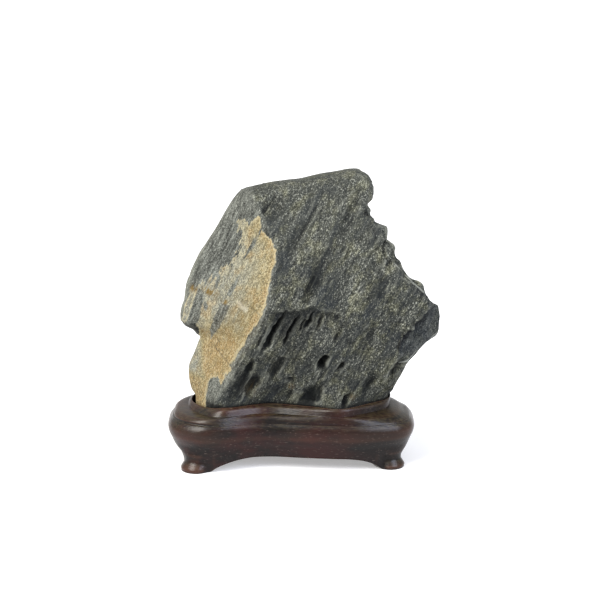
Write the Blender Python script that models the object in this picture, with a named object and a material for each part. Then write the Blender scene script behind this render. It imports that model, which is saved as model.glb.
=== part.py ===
"""A scholar's rock standing in its carved hardwood stand.

The frame: +Z up, +X to the right of the face that is shown, -Y towards the viewer.
The origin is the middle of the object's footprint, on the surface that it stands on.

The rock is one closed grid of level rings. Each ring runs from the left edge of the stone over its
face to the right edge and back behind it. The two edges and the crown are drawn as profiles, the face
and the back are depths measured from the plane of those edges, and ledges, slots, hollows and knobs
are then worked into the skin along its own normals.

The stand is one closed grid too: a section profile carried round a wavy oval, with the seat sunk in
its top and four feet left standing below.
"""

import math

import bpy
import numpy as np

MM = 0.001

# ---- driving dimensions, in millimetres --------------------------------------------------------

SEAT_FLOOR_Z = 24.0
RIM_BASE_Z = 28.2
RIM_TOP_Z = 31.6
SEAT_GAP = 0.8            # the slack between the rock and the wall of its seat
LEFT_SEAT_GAP = 2.6       # the rock's left heel stands further in from the wall
REST_GAP = 0.3            # the rock is modelled this far above the seat floor
ROCK_FOOT_Z = SEAT_FLOOR_Z + REST_GAP
ROCK_CORNER_Z = 138.0     # the height at which the two edges of the rock meet its crown

STAND_CENTRE_X = -6.5
UNDERSIDE_Z = 6.6

# Grid sizes. Each grid has as many columns behind as over its front.
ROCK_HALF_COLUMNS = 41
ROCK_ROWS = 39
STAND_HALF_COLUMNS = 32

# The stand's plan outlines, as (half length, front, back, squareness of the front and of the back,
# left bulge, waist, right bulge).
SEAT_PLAN = (50.3, 20.5, 21.5, 2.4, 2.3, 7.7, -4.6, 6.9)
RIM_PLAN = (53.3, 24.5, 25.5, 2.8, 2.3, 6.5, -3.5, 4.0)
BODY_PLAN = (62.2, 29.5, 31.6, 4.2, 2.3, 3.5, -2.8, 1.5)
# Where the left bulge, the waist and the right bulge lie, as (place, width), in half lengths.
FRONT_WAVES = ((-0.70, 0.22), (-0.19, 0.26), (0.50, 0.22))

# ---- the rock's edges, in millimetres ----------------------------------------------------------

# The left edge, as (height, x): the heel, the waist, the notch, the lobe over it, the long slope.
LEFT_EDGE = (
    (24, -54.5), (30, -55.5), (33, -56.5), (37, -57.8), (43, -58.4), (48, -58), (54, -56.2),
    (58, -54.2), (61.6, -52.3), (63.4, -52.8), (66, -57), (68.5, -60.3), (71, -61.8), (74, -62.2),
    (80, -60.8), (87, -59.4), (92, -58.2), (96, -56.6), (102, -53.6), (108, -50.6), (118, -44.2),
    (126, -39.6), (132, -35.6), (135, -33.4), (138, -30.4),
)
# The right edge: the foot, the slope out to the snout, the snout, the broken steps up to the crown.
RIGHT_EDGE = (
    (24, 41.5), (31, 43), (37, 46), (43.5, 49), (48, 51), (52, 54.5), (56, 57.9), (60, 62.3),
    (63, 65.9), (67, 67.3), (74, 67.9), (78.4, 67), (81, 63.2), (84.6, 61.2), (88.2, 60), (91.3, 56.4),
    (93.4, 52), (98.5, 48.9), (102.6, 45.2), (109.7, 44.3), (111.7, 41.2), (116.8, 41), (119.8, 38),
    (121.3, 34.2), (124.8, 32.4), (129.8, 31), (132.8, 33.3), (138, 34),
)
# The crown, as (share of the way from the left edge to the right one, height).
CROWN = (
    (0, 138), (0.04, 139.6), (0.12, 141.2), (0.26, 143.2), (0.48, 145.4), (0.66, 147.8), (0.78, 149),
    (0.86, 149.2), (0.92, 148.2), (0.965, 145.2), (1, 138),
)
# The ridge between the smooth left facet and the rough face, as (height, x).
RIDGE = (
    (24, -47), (36, -44), (43.5, -37.6), (58, -29.6), (69, -23.7), (82, -19.2), (94, -16.7),
    (105.5, -14.6), (114, -15.2), (125, -20.5), (133, -24.5), (138, -26.5),
)
# The right end of the face, where it turns back into the broken side, as (height, x).
FACE_END = (
    (24, 38), (38, 42.4), (54, 50), (69, 51.5), (72, 52.2), (76, 57), (81, 59.3), (86, 59.6),
    (90, 57), (100.6, 46.8), (104, 43.4), (110, 38.8), (117, 34.4), (125, 30.6), (133, 29), (138, 29.6),
)
# How the face turns back there: under 1 is a square corner, 1 a round one, over 2 a hollow.
FACE_END_TURN = ((24, 0.8), (46, 0.9), (54, 2.4), (62, 3.6), (74, 3.4), (82, 1.2), (90, 0.8), (138, 0.9))

# The depth of the stone before its edges: at the ridge, and at the right end of the face.
RIDGE_DEPTH = ((24, 19), (36, 21), (50, 24), (75, 26.5), (100, 25), (120, 19.5), (132, 14), (148, 7.5))
FACE_END_DEPTH = ((24, 19), (40, 20), (60, 19), (78, 18), (95, 18), (115, 17), (132, 12.5), (148, 7))
# The depth behind the edges: the swell near the left and the one near the right.
BACK_LEFT_DEPTH = ((24, 20), (40, 22), (60, 21), (75, 24), (100, 25), (120, 22), (148, 16))
BACK_RIGHT_DEPTH = ((24, 20), (45, 24), (66, 23), (82, 25), (100, 23), (120, 23), (148, 18))
# How each side rounds over into the crown, as (height, power of the superellipse).
FRONT_CROWN_ROUND = (6.0, 2.2)
BACK_CROWN_ROUND = (24.0, 1.9)
# How the back rounds over into the edges, as (share of the width, power of the superellipse).
BACK_LEFT_ROUND = (0.30, 2.0)
BACK_RIGHT_ROUND = (0.20, 2.4)
# The valley down the back: its depth as a share, its place and half width as shares of the width, how
# far it winds to either side, and the height over which it does.
BACK_VALLEY = (0.12, 0.42, 0.13, 0.12, 21.0)
# The edges' plane: how far it winds to and fro, over which height, how far the right edge lies behind
# the left one, and how far the top leans forward from which height up.
EDGE_WIND = (2.5, 17.0)
EDGE_SKEW = 2.0
CROWN_LEAN = (7.0, 95.0, 150.0)
# The share of the facet's width over which it rounds off at the left edge.
FACET_ROUNDING = 0.10
# The height over which the rock passes from the outline of its seat to its own form.
FREED_HEIGHTS = (RIM_TOP_Z - 1.0, RIM_TOP_Z + 16.0)

# Shares of the columns over the front that lie left of the ridge, and left of the face's end.
RIDGE_COLUMN = 0.24
FACE_END_COLUMN = 0.84
# The rows, as (share of the rows, height): close together where the slots and hollows are.
ROW_HEIGHTS = ((0, ROCK_FOOT_Z), (0.05, 30.5), (0.10, 35), (0.58, 82), (0.84, 127), (1, ROCK_CORNER_Z))

# ---- the relief of the rock, in millimetres ----------------------------------------------------

GRAIN_ANGLE = math.radians(62.0)    # the bedding climbs to the right at this angle
GRAIN_STRETCH = 3.2                 # lumps are this many times as long along the bedding as across
# Rough skin, as (height, cell, seed) for each size of lump.
FACE_LUMPS = ((1.2, 6.5, 11), (0.8, 3.6, 12))
FACET_LUMPS = ((0.25, 9.0, 13),)
BACK_LUMPS = ((1.2, 8.0, 21),)
SIDE_LUMPS = ((1.5, 7.0, 31), (1.0, 3.6, 32))
BROAD_LUMPS = ((0.8, 22.0, 41),)
LEDGE_WAVE = (1.6, 4.3)             # the brow of a ledge wanders up and down: (height, reach)
# Ledges across the face, as (left x, left z, right x, right z, overhang, fade below).
LEDGES = (
    (-25, 77, 22, 80, 3.4, 11),
    (-36, 56, 8, 58, 3.2, 12),
    (-8, 106, 24, 116, 1.1, 10),
)
# Slots and hollows in the face, as (x, z, length, width, depth), long along the bedding.
HOLLOWS = (
    (-18.2, 69.5, 16, 4.4, 5.0), (-8.8, 69.5, 15, 3.8, 4.6), (-1.4, 73.0, 9, 3.6, 3.4),
    (4.0, 74.0, 10, 4.0, 3.6), (10.5, 73.0, 9, 4.4, 2.2), (-26.2, 43.5, 14, 6.4, 6.0),
    (-27.0, 52.0, 8, 4.6, 3.4), (-13.6, 53.0, 11, 6.2, 4.0), (9.0, 55.0, 8.0, 6.0, 6.5),
    (18.4, 53.6, 5.6, 4.4, 4.0), (4.6, 39.8, 11, 9.0, 5.5), (-4.0, 37.0, 9, 7.0, 3.5),
    (21.0, 39.0, 9, 5.0, 3.2), (4.0, 95.0, 24, 7.0, 2.0), (-14.5, 131.0, 14, 9.0, 1.6),
    (20.0, 124.0, 20, 7.0, 1.3), (30.0, 64.0, 20, 7.0, 1.4), (-4.0, 117.0, 22, 6.0, 1.2),
    (35.0, 92.0, 18, 7.0, 1.2), (46.5, 49.5, 8, 4.4, 3.0), (33.0, 44.0, 12, 5.0, 1.6),
)
# Knobs of the broken right side, the lip behind the face's end, and the lobe over the notch at the
# left, as (x, y, z, radius, height).
KNOBS = (
    (36, 0, 122.5, 3.4, -1.6), (40, 1, 116, 4.0, 1.8), (41, 0, 111, 2.6, -1.4), (44, 2, 106, 4.0, 2.0),
    (47, 1, 99, 3.0, -1.4), (51, 5, 95.5, 3.4, 1.4), (59, 5, 89, 4.4, 2.4), (62, 1, 82, 2.8, -1.4),
    (61, -6, 71, 6.0, 3.2), (59, -4, 62, 4.5, 2.0), (53, -5, 53, 4.0, 1.6), (56, -8, 67, 4.0, -2.0),
    (-58, -5, 70, 6.0, 1.6), (-54, -6, 62.5, 4.0, -1.8), (-57, 6, 46, 7.0, 1.4), (33, -4, 140, 6.0, 1.0),
)
# Hollows in the back, as (x, z, length, width, depth).
BACK_HOLLOWS = (
    (-30, 88, 28, 10, 3.0), (10, 104, 34, 11, 3.2), (34, 70, 20, 9, 3.6), (-8, 62, 18, 8, 4.2),
    (-36, 48, 14, 7, 3.2), (22, 46, 14, 9, 4.2), (-6, 128, 20, 9, 2.2), (-16, 80, 10, 6, 2.4),
)

# ---- the stand, in millimetres -----------------------------------------------------------------

# Feet, as (x, y, radius of the pad).
FEET = ((-53.2, -22.2, 8.5), (43.2, -17.4, 7.7), (-48.0, 17.0, 8.2), (36.5, 17.0, 7.8))
# The feet, as (height, how far outside the pad's radius, share by which the foot is a round pad).
FOOT_SECTION = (
    (0.0, -1.5, 1.0), (1.1, -0.2, 1.0), (3.2, 0.2, 1.0), (5.6, -0.6, 1.0), (7.8, -1.7, 0.95),
    (9.8, -1.6, 0.6),
)
# The section of the body, as (height, how far in from its widest line at the ends, and in front).
BODY_SECTION = (
    (12.2, 3.2, 1.8), (14.6, 1.1, 0.8), (17.2, 0.0, 0.0), (20.2, 0.2, 0.0), (22.8, 1.0, 0.5),
    (24.4, 2.0, 1.4), (24.5, 3.0, 2.4),
)
APRON_EDGE_INSETS = (7.4, 3.6)
PAD_PIVOT = 0.75          # the share of a pad's radius by which its pivot lies nearer the middle
UNDER_INSETS = (8.5, 11.0, 14.0, 17.0, 20.0, 23.0)
APRON_DROP = 1.5          # the apron's edge comes down by this much towards each foot
# The shoulder and the rim, as (height, share of the way in to the next plan outline).
SHOULDER_SECTION = ((25.7, 0.06), (27.1, 0.34), (27.9, 0.70), (RIM_BASE_Z, 1.0))
RIM_SECTION = ((29.4, 0.20), (30.9, 0.40), (RIM_TOP_Z, 0.72), (31.4, 1.0))

STONE = ("dark greywacke", (0.045, 0.048, 0.042), 0.75)
WOOD = ("waxed dark rosewood", (0.035, 0.012, 0.010), 0.35)


# ---- helpers -----------------------------------------------------------------------------------

def along(profile, at, soften=0.0):
    """A profile of (position, value) pairs read at the given positions, averaged over +-soften."""
    positions, values = np.array(profile, float).T
    offsets = np.array([-1.0, -0.5, 0.0, 0.5, 1.0]) * soften
    return sum(np.interp(at + offset, positions, values) for offset in offsets) / len(offsets)


def blended(low, high, share):
    """The value that lies a share of the way from low to high."""
    return low + (high - low) * share


def smooth_step(low, high, value):
    """0 below low, 1 above high, and an S curve between them."""
    t = np.clip((value - low) / (high - low), 0.0, 1.0)
    return t * t * (3.0 - 2.0 * t)


def quarter_round(distance, reach, power):
    """A quarter of a superellipse: 0 at distance 0, where it starts upright, and 1 from reach on."""
    return (1.0 - (1.0 - np.clip(distance / reach, 0.0, 1.0)) ** power) ** (1.0 / power)


def value_noise(points, cell, seed):
    """Smooth noise from -1 to 1: random values at the corners of cubes, blended inside each cube."""
    table = np.random.RandomState(seed).permutation(256)
    lattice = points / cell
    base = np.floor(lattice).astype(int)
    part = lattice - base
    part = part * part * part * (part * (part * 6.0 - 15.0) + 10.0)
    total = np.zeros(len(points))
    for corner in range(8):
        step = np.array([corner & 1, corner >> 1 & 1, corner >> 2 & 1])
        weight = np.where(step, part, 1.0 - part).prod(axis=1)
        x, y, z = ((base + step) & 255).T
        total += weight * table[(table[(table[x] + y) & 255] + z) & 255]
    return total / 127.5 - 1.0


def lumps(points, layers):
    """The sum of several sizes of smooth noise."""
    return sum(height * value_noise(points, cell, seed) for height, cell, seed in layers)


def vertex_normals(points, quads):
    """Unit normals at the points: the sum of the normals of the faces that meet there."""
    crossed = np.cross(points[quads[:, 2]] - points[quads[:, 0]], points[quads[:, 3]] - points[quads[:, 1]])
    normals = np.zeros_like(points)
    for corner in range(4):
        np.add.at(normals, quads[:, corner], crossed)
    return normals / np.maximum(np.linalg.norm(normals, axis=1, keepdims=True), 1e-12)


def plan_outline(turn, plan, end_inset=0.0, face_inset=0.0):
    """A rounded oblong about the stand's centre, as x and y, at the angles turn.

    It is a superellipse, drawn in by end_inset at its ends and by face_inset in front and behind.
    Its front has a bulge at the left, a waist, and a bulge at the right.
    """
    half_length, front, back, front_squareness, back_squareness, *bulges = plan
    power = 2.0 / np.where(np.sin(turn) < 0, front_squareness, back_squareness)
    across = np.sign(np.cos(turn)) * np.abs(np.cos(turn)) ** power
    deep = np.sign(np.sin(turn)) * np.abs(np.sin(turn)) ** power
    wave = sum(bulge * np.exp(-(((across - place) / width) ** 2))
               for bulge, (place, width) in zip(bulges, FRONT_WAVES))
    depth = np.where(deep < 0, front + wave, back) - face_inset
    return STAND_CENTRE_X + (half_length - end_inset) * across, depth * deep


def ring_quads(rows, columns):
    """Quads between stacked closed rings of points, numbered row by row."""
    row, column = np.mgrid[0:rows - 1, 0:columns]
    following = (column + 1) % columns
    corners = (row * columns + column, row * columns + following,
               (row + 1) * columns + following, (row + 1) * columns + column)
    return np.stack([corner.ravel() for corner in corners], axis=1)


def new_object(name, points_mm, faces, finish):
    """A mesh object from points in millimetres, shaded smooth, with one plain material."""
    mesh = bpy.data.meshes.new(name)
    mesh.from_pydata((points_mm * MM).tolist(), [], faces)
    mesh.shade_smooth()
    mesh.set_sharp_from_angle(angle=math.radians(40))
    material_name, colour, roughness = finish
    material = bpy.data.materials.new(material_name)
    material.use_nodes = True
    shader = material.node_tree.nodes["Principled BSDF"]
    shader.inputs["Base Color"].default_value = (*colour, 1.0)
    shader.inputs["Roughness"].default_value = roughness
    shader.inputs["Metallic"].default_value = 0.0
    mesh.materials.append(material)
    made = bpy.data.objects.new(name, mesh)
    bpy.context.scene.collection.objects.link(made)
    return made


# ---- the rock ----------------------------------------------------------------------------------

def rock_grid():
    """The plain form of the rock: points as (rows, columns, 3), with no relief.

    The columns start at the left edge, run over the front to the right edge, and come back behind.
    """
    half = ROCK_HALF_COLUMNS
    column = np.arange(2 * half)
    way = np.where(column <= half, column, 2 * half - column) / half
    way, row = np.meshgrid(way, np.linspace(0.0, 1.0, ROCK_ROWS))
    behind = np.broadcast_to(column > half, way.shape)
    edge_z = along(ROW_HEIGHTS, row)
    edge_z = blended(edge_z, ROCK_CORNER_Z, 0.5 * smooth_step(0.8, 1.0, row))
    left = along(LEFT_EDGE, edge_z, 0.6)
    right = along(RIGHT_EDGE, edge_z, 0.6)

    front_x, front_depth = front_section(way, edge_z, left, right)
    front_share = (front_x - left) / (right - left)
    back_share = blended(0.5 - 0.5 * np.cos(math.pi * way), front_share, row ** 8)
    share = np.where(behind, back_share, front_share)
    x = blended(left, right, share)

    crown = along(CROWN, share, 0.02)
    z = blended(ROCK_FOOT_Z, crown, (edge_z - ROCK_FOOT_Z) / (ROCK_CORNER_Z - ROCK_FOOT_Z))
    front_round = quarter_round(crown - z, *FRONT_CROWN_ROUND)
    back_round = quarter_round(crown - z, *BACK_CROWN_ROUND)
    lean, lean_from, lean_to = CROWN_LEAN
    edge_y = EDGE_WIND[0] * np.sin(z / EDGE_WIND[1]) + EDGE_SKEW * (share - 0.5)
    edge_y = edge_y - lean * smooth_step(lean_from, lean_to, z)
    y = edge_y + np.where(behind, back_depth(share, z) * back_round, -front_depth * front_round)

    turn = math.pi + math.pi * np.where(behind, 2.0 - way, way)
    foot_x, foot_y = plan_outline(turn, SEAT_PLAN, SEAT_GAP, SEAT_GAP)
    foot_x = foot_x + (LEFT_SEAT_GAP - SEAT_GAP) * smooth_step(RIDGE_COLUMN, 0.0, way)
    freed = smooth_step(*FREED_HEIGHTS, z)
    return np.stack([blended(foot_x, x, freed), blended(foot_y, y, freed), z], axis=-1)


def front_section(way, z, left, right):
    """The level section over the front: x, and the depth in front of the edges.

    From the left edge the facet rises straight to the ridge, with its first part rounded off. From
    the ridge the face runs straight to its right end. There it turns back to the right edge along a
    superellipse, which is a corner or a hollow according to its power.
    """
    ridge_x, end_x = along(RIDGE, z, 2.0), along(FACE_END, z, 1.5)
    ridge_depth, end_depth = along(RIDGE_DEPTH, z, 4.0), along(FACE_END_DEPTH, z, 4.0)

    on_facet = np.clip(way / RIDGE_COLUMN, 0.0, 1.0)
    rise = np.sqrt(on_facet * (on_facet + 2.0 * FACET_ROUNDING)) / math.sqrt(1.0 + 2.0 * FACET_ROUNDING)
    facet_x = blended(left, ridge_x, on_facet)
    facet_depth = ridge_depth * rise

    on_face = np.clip((way - RIDGE_COLUMN) / (FACE_END_COLUMN - RIDGE_COLUMN), 0.0, 1.0)
    face_x = blended(ridge_x, end_x, on_face)
    face_depth = blended(ridge_depth, end_depth, on_face)

    on_side = np.clip((way - FACE_END_COLUMN) / (1.0 - FACE_END_COLUMN), 0.0, 1.0)
    power = along(FACE_END_TURN, z, 3.0)
    side_x = blended(end_x, right, np.sin(0.5 * math.pi * on_side) ** power)
    side_depth = end_depth * np.cos(0.5 * math.pi * on_side) ** power

    stretches = [way < RIDGE_COLUMN, way < FACE_END_COLUMN]
    x = np.select(stretches, [facet_x, face_x], side_x)
    return x, np.select(stretches, [facet_depth, face_depth], side_depth)


def back_depth(share, z):
    """How far the back stands behind the edges: two swells with a winding valley between."""
    depth = blended(along(BACK_LEFT_DEPTH, z, 4.0), along(BACK_RIGHT_DEPTH, z, 4.0), share)
    deepest, place, half_width, wind, wind_height = BACK_VALLEY
    off_valley = (share - place - wind * np.sin(z / wind_height)) / half_width
    depth = depth * (1.0 - deepest * np.exp(-(off_valley ** 2)))
    return depth * quarter_round(share, *BACK_LEFT_ROUND) * quarter_round(1.0 - share, *BACK_RIGHT_ROUND)


def rock_relief(points, normals):
    """How far each point of the rock moves along its normal, in millimetres.

    Each kind of skin is used where the normal points its way: the rough face and the smooth facet in
    front, on either side of the ridge, the back behind, and the broken side at the right end.
    """
    x, y, z = points.T
    grain = x * math.cos(GRAIN_ANGLE) + z * math.sin(GRAIN_ANGLE)
    cross = x * math.sin(GRAIN_ANGLE) - z * math.cos(GRAIN_ANGLE)
    bedded = np.stack([cross, y / 1.4, grain / GRAIN_STRETCH], axis=1)
    facing = smooth_step(0.15, 0.65, -normals[:, 1])
    behind = smooth_step(0.15, 0.65, normals[:, 1])
    broken = (1.0 - facing) * (1.0 - behind) * smooth_step(20.0, 45.0, x)
    past_ridge = x - along(RIDGE, z, 2.0)
    rough = smooth_step(-1.0, 4.0, past_ridge)

    face = lumps(bedded, FACE_LUMPS) - ledges(x, z) - hollows(HOLLOWS, x, z)
    rear = lumps(bedded, BACK_LUMPS) - hollows(BACK_HOLLOWS, x, z)
    relief = facing * blended(lumps(bedded, FACET_LUMPS), face, rough)
    relief += behind * rear + broken * lumps(points, SIDE_LUMPS)
    relief += knobs(points) + lumps(points, BROAD_LUMPS)
    return relief * smooth_step(RIM_TOP_Z, RIM_TOP_Z + 5.0, z)


def ledges(x, z):
    """How deep the face is cut back below each ledge: full just under it, fading further down."""
    total = np.zeros_like(x)
    for left_x, left_z, right_x, right_z, overhang, fade in LEDGES:
        share = (x - left_x) / (right_x - left_x)
        below = blended(left_z, right_z, share) + LEDGE_WAVE[0] * np.sin(x / LEDGE_WAVE[1]) - z
        reach = np.exp(-((2.0 * share - 1.0) ** 4))
        total += overhang * reach * smooth_step(-0.8, 1.6, below) * np.exp(-np.maximum(below, 0.0) / fade)
    return total


def hollows(pits, x, z):
    """The depth of the slots and hollows: each is a flat-bottomed dent, long along the bedding."""
    cos, sin = math.cos(GRAIN_ANGLE), math.sin(GRAIN_ANGLE)
    total = np.zeros_like(x)
    for pit_x, pit_z, length, width, depth in pits:
        dx, dz = x - pit_x, z - pit_z
        along_bed = (dx * cos + dz * sin) / (length / 2.0)
        across_bed = (dx * sin - dz * cos) / (width / 2.0)
        total = np.maximum(total, depth * np.exp(-((along_bed ** 2 + across_bed ** 2) ** 1.5)))
    return total


def knobs(points):
    """How far the knobs stand out at each point, each falling off as a bell curve."""
    total = np.zeros(len(points))
    for knob_x, knob_y, knob_z, radius, height in KNOBS:
        off = points - (knob_x, knob_y, knob_z)
        total += height * np.exp(-(off * off).sum(axis=1) / (radius * radius))
    return total


def make_rock():
    """The stone: level rings, zipped shut along the crown and along the middle of the foot."""
    grid = rock_grid()
    rows, columns = grid.shape[:2]
    foot_line = grid[0].copy()
    foot_line[:, 1] = 0.0
    points = np.concatenate([foot_line[None], grid]).reshape(-1, 3)
    quads = ring_quads(rows + 1, columns)
    quads = zip_row(quads, 0, columns)
    quads = zip_row(quads, rows, columns)
    points, quads = used_points(points, quads)
    normals = vertex_normals(points, quads)
    points = points + normals * rock_relief(points, normals)[:, None]
    points[:, 2] = np.maximum(points[:, 2], ROCK_FOOT_Z)
    return new_object("rock", points, tidy_faces(quads), STONE)


def zip_row(quads, row, columns):
    """The quads with each back point of a row made the same as the front point across from it."""
    start = row * columns
    local = quads - start
    in_back = (local > columns // 2) & (local < columns)
    return np.where(in_back, start + columns - local, quads)


def used_points(points, quads):
    """The points that the quads use, and the quads renumbered to them."""
    kept, renumbered = np.unique(quads, return_inverse=True)
    return points[kept], renumbered.reshape(quads.shape)


def tidy_faces(quads):
    """Faces as lists, where a quad that has lost a corner to zipping becomes a triangle."""
    return [list(dict.fromkeys(quad)) for quad in quads.tolist()]


# ---- the stand ---------------------------------------------------------------------------------

def foot_share(x, y):
    """1 over the pad of a foot, 0 past its cove."""
    return smooth_step(1.7, 1.05, pads_away(x, y))


def apron_edge(x, y):
    """The height of the apron's lower edge, which comes down towards the feet."""
    return UNDERSIDE_Z - APRON_DROP * smooth_step(3.4, 1.5, pads_away(x, y))


def pads_away(x, y):
    """How far the nearest foot is from each point, in radii of its pad."""
    return np.min([np.hypot(x - foot_x, y - foot_y) / radius for foot_x, foot_y, radius in FEET], axis=0)


def on_nearest_pad(x, y, out):
    """The point of the nearest pad's edge, moved outwards by out, that lies the same way as (x, y).

    The way is taken from a pivot inside the pad, on the side towards the middle of the stand: with p
    the pivot and u the way, seen from the pad's centre, the point is p + u (sqrt((p.u)^2 - p.p + r^2)
    - p.u).
    """
    feet = np.array(FEET)
    nearest = np.hypot(x[None] - feet[:, :1], y[None] - feet[:, 1:2]).argmin(axis=0)
    centre_x, centre_y, radius = feet[nearest].T
    pivot_x = -np.sign(centre_x) * PAD_PIVOT * 0.7 * radius
    pivot_y = -np.sign(centre_y) * PAD_PIVOT * 0.7 * radius
    way = np.arctan2(y - centre_y - pivot_y, x - centre_x - pivot_x)
    way_x, way_y = np.cos(way), np.sin(way)
    dot = pivot_x * way_x + pivot_y * way_y
    reach = np.sqrt(dot * dot - pivot_x ** 2 - pivot_y ** 2 + (radius + out) ** 2) - dot
    return centre_x + pivot_x + reach * way_x, centre_y + pivot_y + reach * way_y


def make_stand():
    """The stand: its section carried round, from under the feet up and over into the seat."""
    columns = 2 * STAND_HALF_COLUMNS
    turn = math.pi + 2.0 * math.pi * np.arange(columns) / columns
    innermost, *insets, outermost = reversed(UNDER_INSETS)
    rings = [level_ring(turn, BODY_PLAN, innermost, innermost, UNDERSIDE_Z)]
    for inset in insets:
        x, y = plan_outline(turn, BODY_PLAN, inset, inset)
        rings.append((x, y, UNDERSIDE_Z * (1.0 - foot_share(x, y))))
    x, y = plan_outline(turn, BODY_PLAN, outermost, outermost)
    rings.append((x, y, apron_edge(x, y) * (1.0 - foot_share(x, y))))

    ankle_z, *ankle_insets = BODY_SECTION[0]
    apron_line = plan_outline(turn, BODY_PLAN, *APRON_EDGE_INSETS)
    share, edge_z = foot_share(*apron_line), apron_edge(*apron_line)
    for height, out, roundness in FOOT_SECTION:
        climb = height / ankle_z
        insets = [blended(low, high, climb) for low, high in zip(APRON_EDGE_INSETS, ankle_insets)]
        x, y = plan_outline(turn, BODY_PLAN, *insets)
        pad_x, pad_y = on_nearest_pad(x, y, out)
        rings.append((blended(x, pad_x, share * roundness), blended(y, pad_y, share * roundness),
                      blended(blended(edge_z, ankle_z, climb), height, share)))
    for height, *insets in BODY_SECTION:
        rings.append(level_ring(turn, BODY_PLAN, *insets, height))

    rim = level_ring(turn, RIM_PLAN, 0.0, 0.0, RIM_BASE_Z)
    seat = level_ring(turn, SEAT_PLAN, 0.0, 0.0, SEAT_FLOOR_Z)
    rings += between(rings[-1], rim, SHOULDER_SECTION)
    rings += between(rim, seat, RIM_SECTION)
    rings.append(seat)

    points = np.array([np.stack(ring, axis=-1) for ring in rings]).reshape(-1, 3)
    faces = ring_quads(len(rings), columns).tolist()
    faces.append(list(range(columns))[::-1])
    last = (len(rings) - 1) * columns
    faces.append(list(range(last, last + columns)))
    return new_object("stand", points, faces, WOOD)


def level_ring(turn, plan, end_inset, face_inset, height):
    """A plan outline at one height, as x, y and z."""
    return (*plan_outline(turn, plan, end_inset, face_inset), np.full_like(turn, height))


def between(outer, inner, section):
    """Rings between two rings, at the heights and shares of a section."""
    return [(blended(outer[0], inner[0], share), blended(outer[1], inner[1], share),
             np.full_like(outer[0], height)) for height, share in section]


def main():
    for old in list(bpy.data.objects):
        bpy.data.objects.remove(old)
    make_rock()
    make_stand()


main()
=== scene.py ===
"""A scholar's rock in its carved rosewood stand: the finished surfaces, the light and the camera.

The frame: +Z up, +X to the right of the face that is shown, -Y towards the viewer. Lengths in this
file are in millimetres, apart from the settings that Blender shows in metres.

The stone is one closed grid of level rings, as the solid that it stands for is, with a finer grid and
more relief: ledges, slots, broken knobs and grain. Its markings are outlines and spots drawn in
millimetres on its face, kept as attributes of its points. The stand is a section carried round a wavy
oval and smoothed between its rings.
"""

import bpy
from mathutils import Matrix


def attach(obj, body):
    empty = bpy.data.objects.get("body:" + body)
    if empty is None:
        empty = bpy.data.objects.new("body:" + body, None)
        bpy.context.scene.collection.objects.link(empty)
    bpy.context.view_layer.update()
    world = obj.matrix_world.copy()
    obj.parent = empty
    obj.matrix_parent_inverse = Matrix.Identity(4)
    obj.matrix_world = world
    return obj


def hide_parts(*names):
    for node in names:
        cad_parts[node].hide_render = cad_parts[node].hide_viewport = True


bl_info = {
    "name": "Scholar's Rock on its Stand",
    "version": (1, 0, 0),
    "blender": (4, 5, 0),
    "location": "View3D > Sidebar > Scholar's Rock",
    "description": "Dresses a scholar's rock and its hardwood stand, and sets a plain stage for them",
    "category": "Add Mesh",
}

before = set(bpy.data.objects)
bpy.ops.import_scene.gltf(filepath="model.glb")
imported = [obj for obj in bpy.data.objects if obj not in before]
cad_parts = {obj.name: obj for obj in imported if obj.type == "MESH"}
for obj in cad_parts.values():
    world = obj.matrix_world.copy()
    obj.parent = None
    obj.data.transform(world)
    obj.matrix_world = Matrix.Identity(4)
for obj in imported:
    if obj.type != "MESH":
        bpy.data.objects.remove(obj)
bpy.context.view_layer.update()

import math

import bpy
import numpy as np
from mathutils import Vector

MM = 0.001

# ---- driving dimensions, in millimetres --------------------------------------------------------

SEAT_FLOOR_Z = 24.0
RIM_BASE_Z = 28.2
RIM_TOP_Z = 31.6
SEAT_GAP = 0.8            # the slack between the rock and the wall of its seat
LEFT_SEAT_GAP = 1.9       # the slack at the rock's left heel, which stands further in
REST_GAP = 0.3            # the rock stays this far above the seat floor
ROCK_FOOT_Z = SEAT_FLOOR_Z + REST_GAP
ROCK_CORNER_Z = 138.0     # the height at which the two edges of the rock meet its crown
EYE = (-4.6, -776.2, 277.1)     # the rock's outline is drawn as it is seen from here

STAND_CENTRE_X = -6.5
UNDERSIDE_Z = 6.6
FLOOR_RADIUS = 15000.0
FLOOR_SIDES = 96

# The stand's plan outlines, as (half length, front, back, squareness of the front and of the back,
# left bulge, waist, right bulge).
SEAT_PLAN = (50.3, 20.5, 21.5, 2.4, 2.3, 7.7, -4.6, 6.9)
RIM_PLAN = (51.3, 24.5, 24.5, 2.8, 2.2, 6.5, -3.5, 4.0)
BODY_PLAN = (62.2, 29.5, 31.0, 4.5, 2.1, 3.5, -2.8, 1.5)
RIM_SHIFT = -1.2          # where the rim's middle lies from the body's, along X
# Where the left bulge, the waist and the right bulge lie, as (place, width), in half lengths.
FRONT_WAVES = ((-0.70, 0.22), (-0.19, 0.26), (0.50, 0.22))

# ---- the rock's edges --------------------------------------------------------------------------

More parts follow.
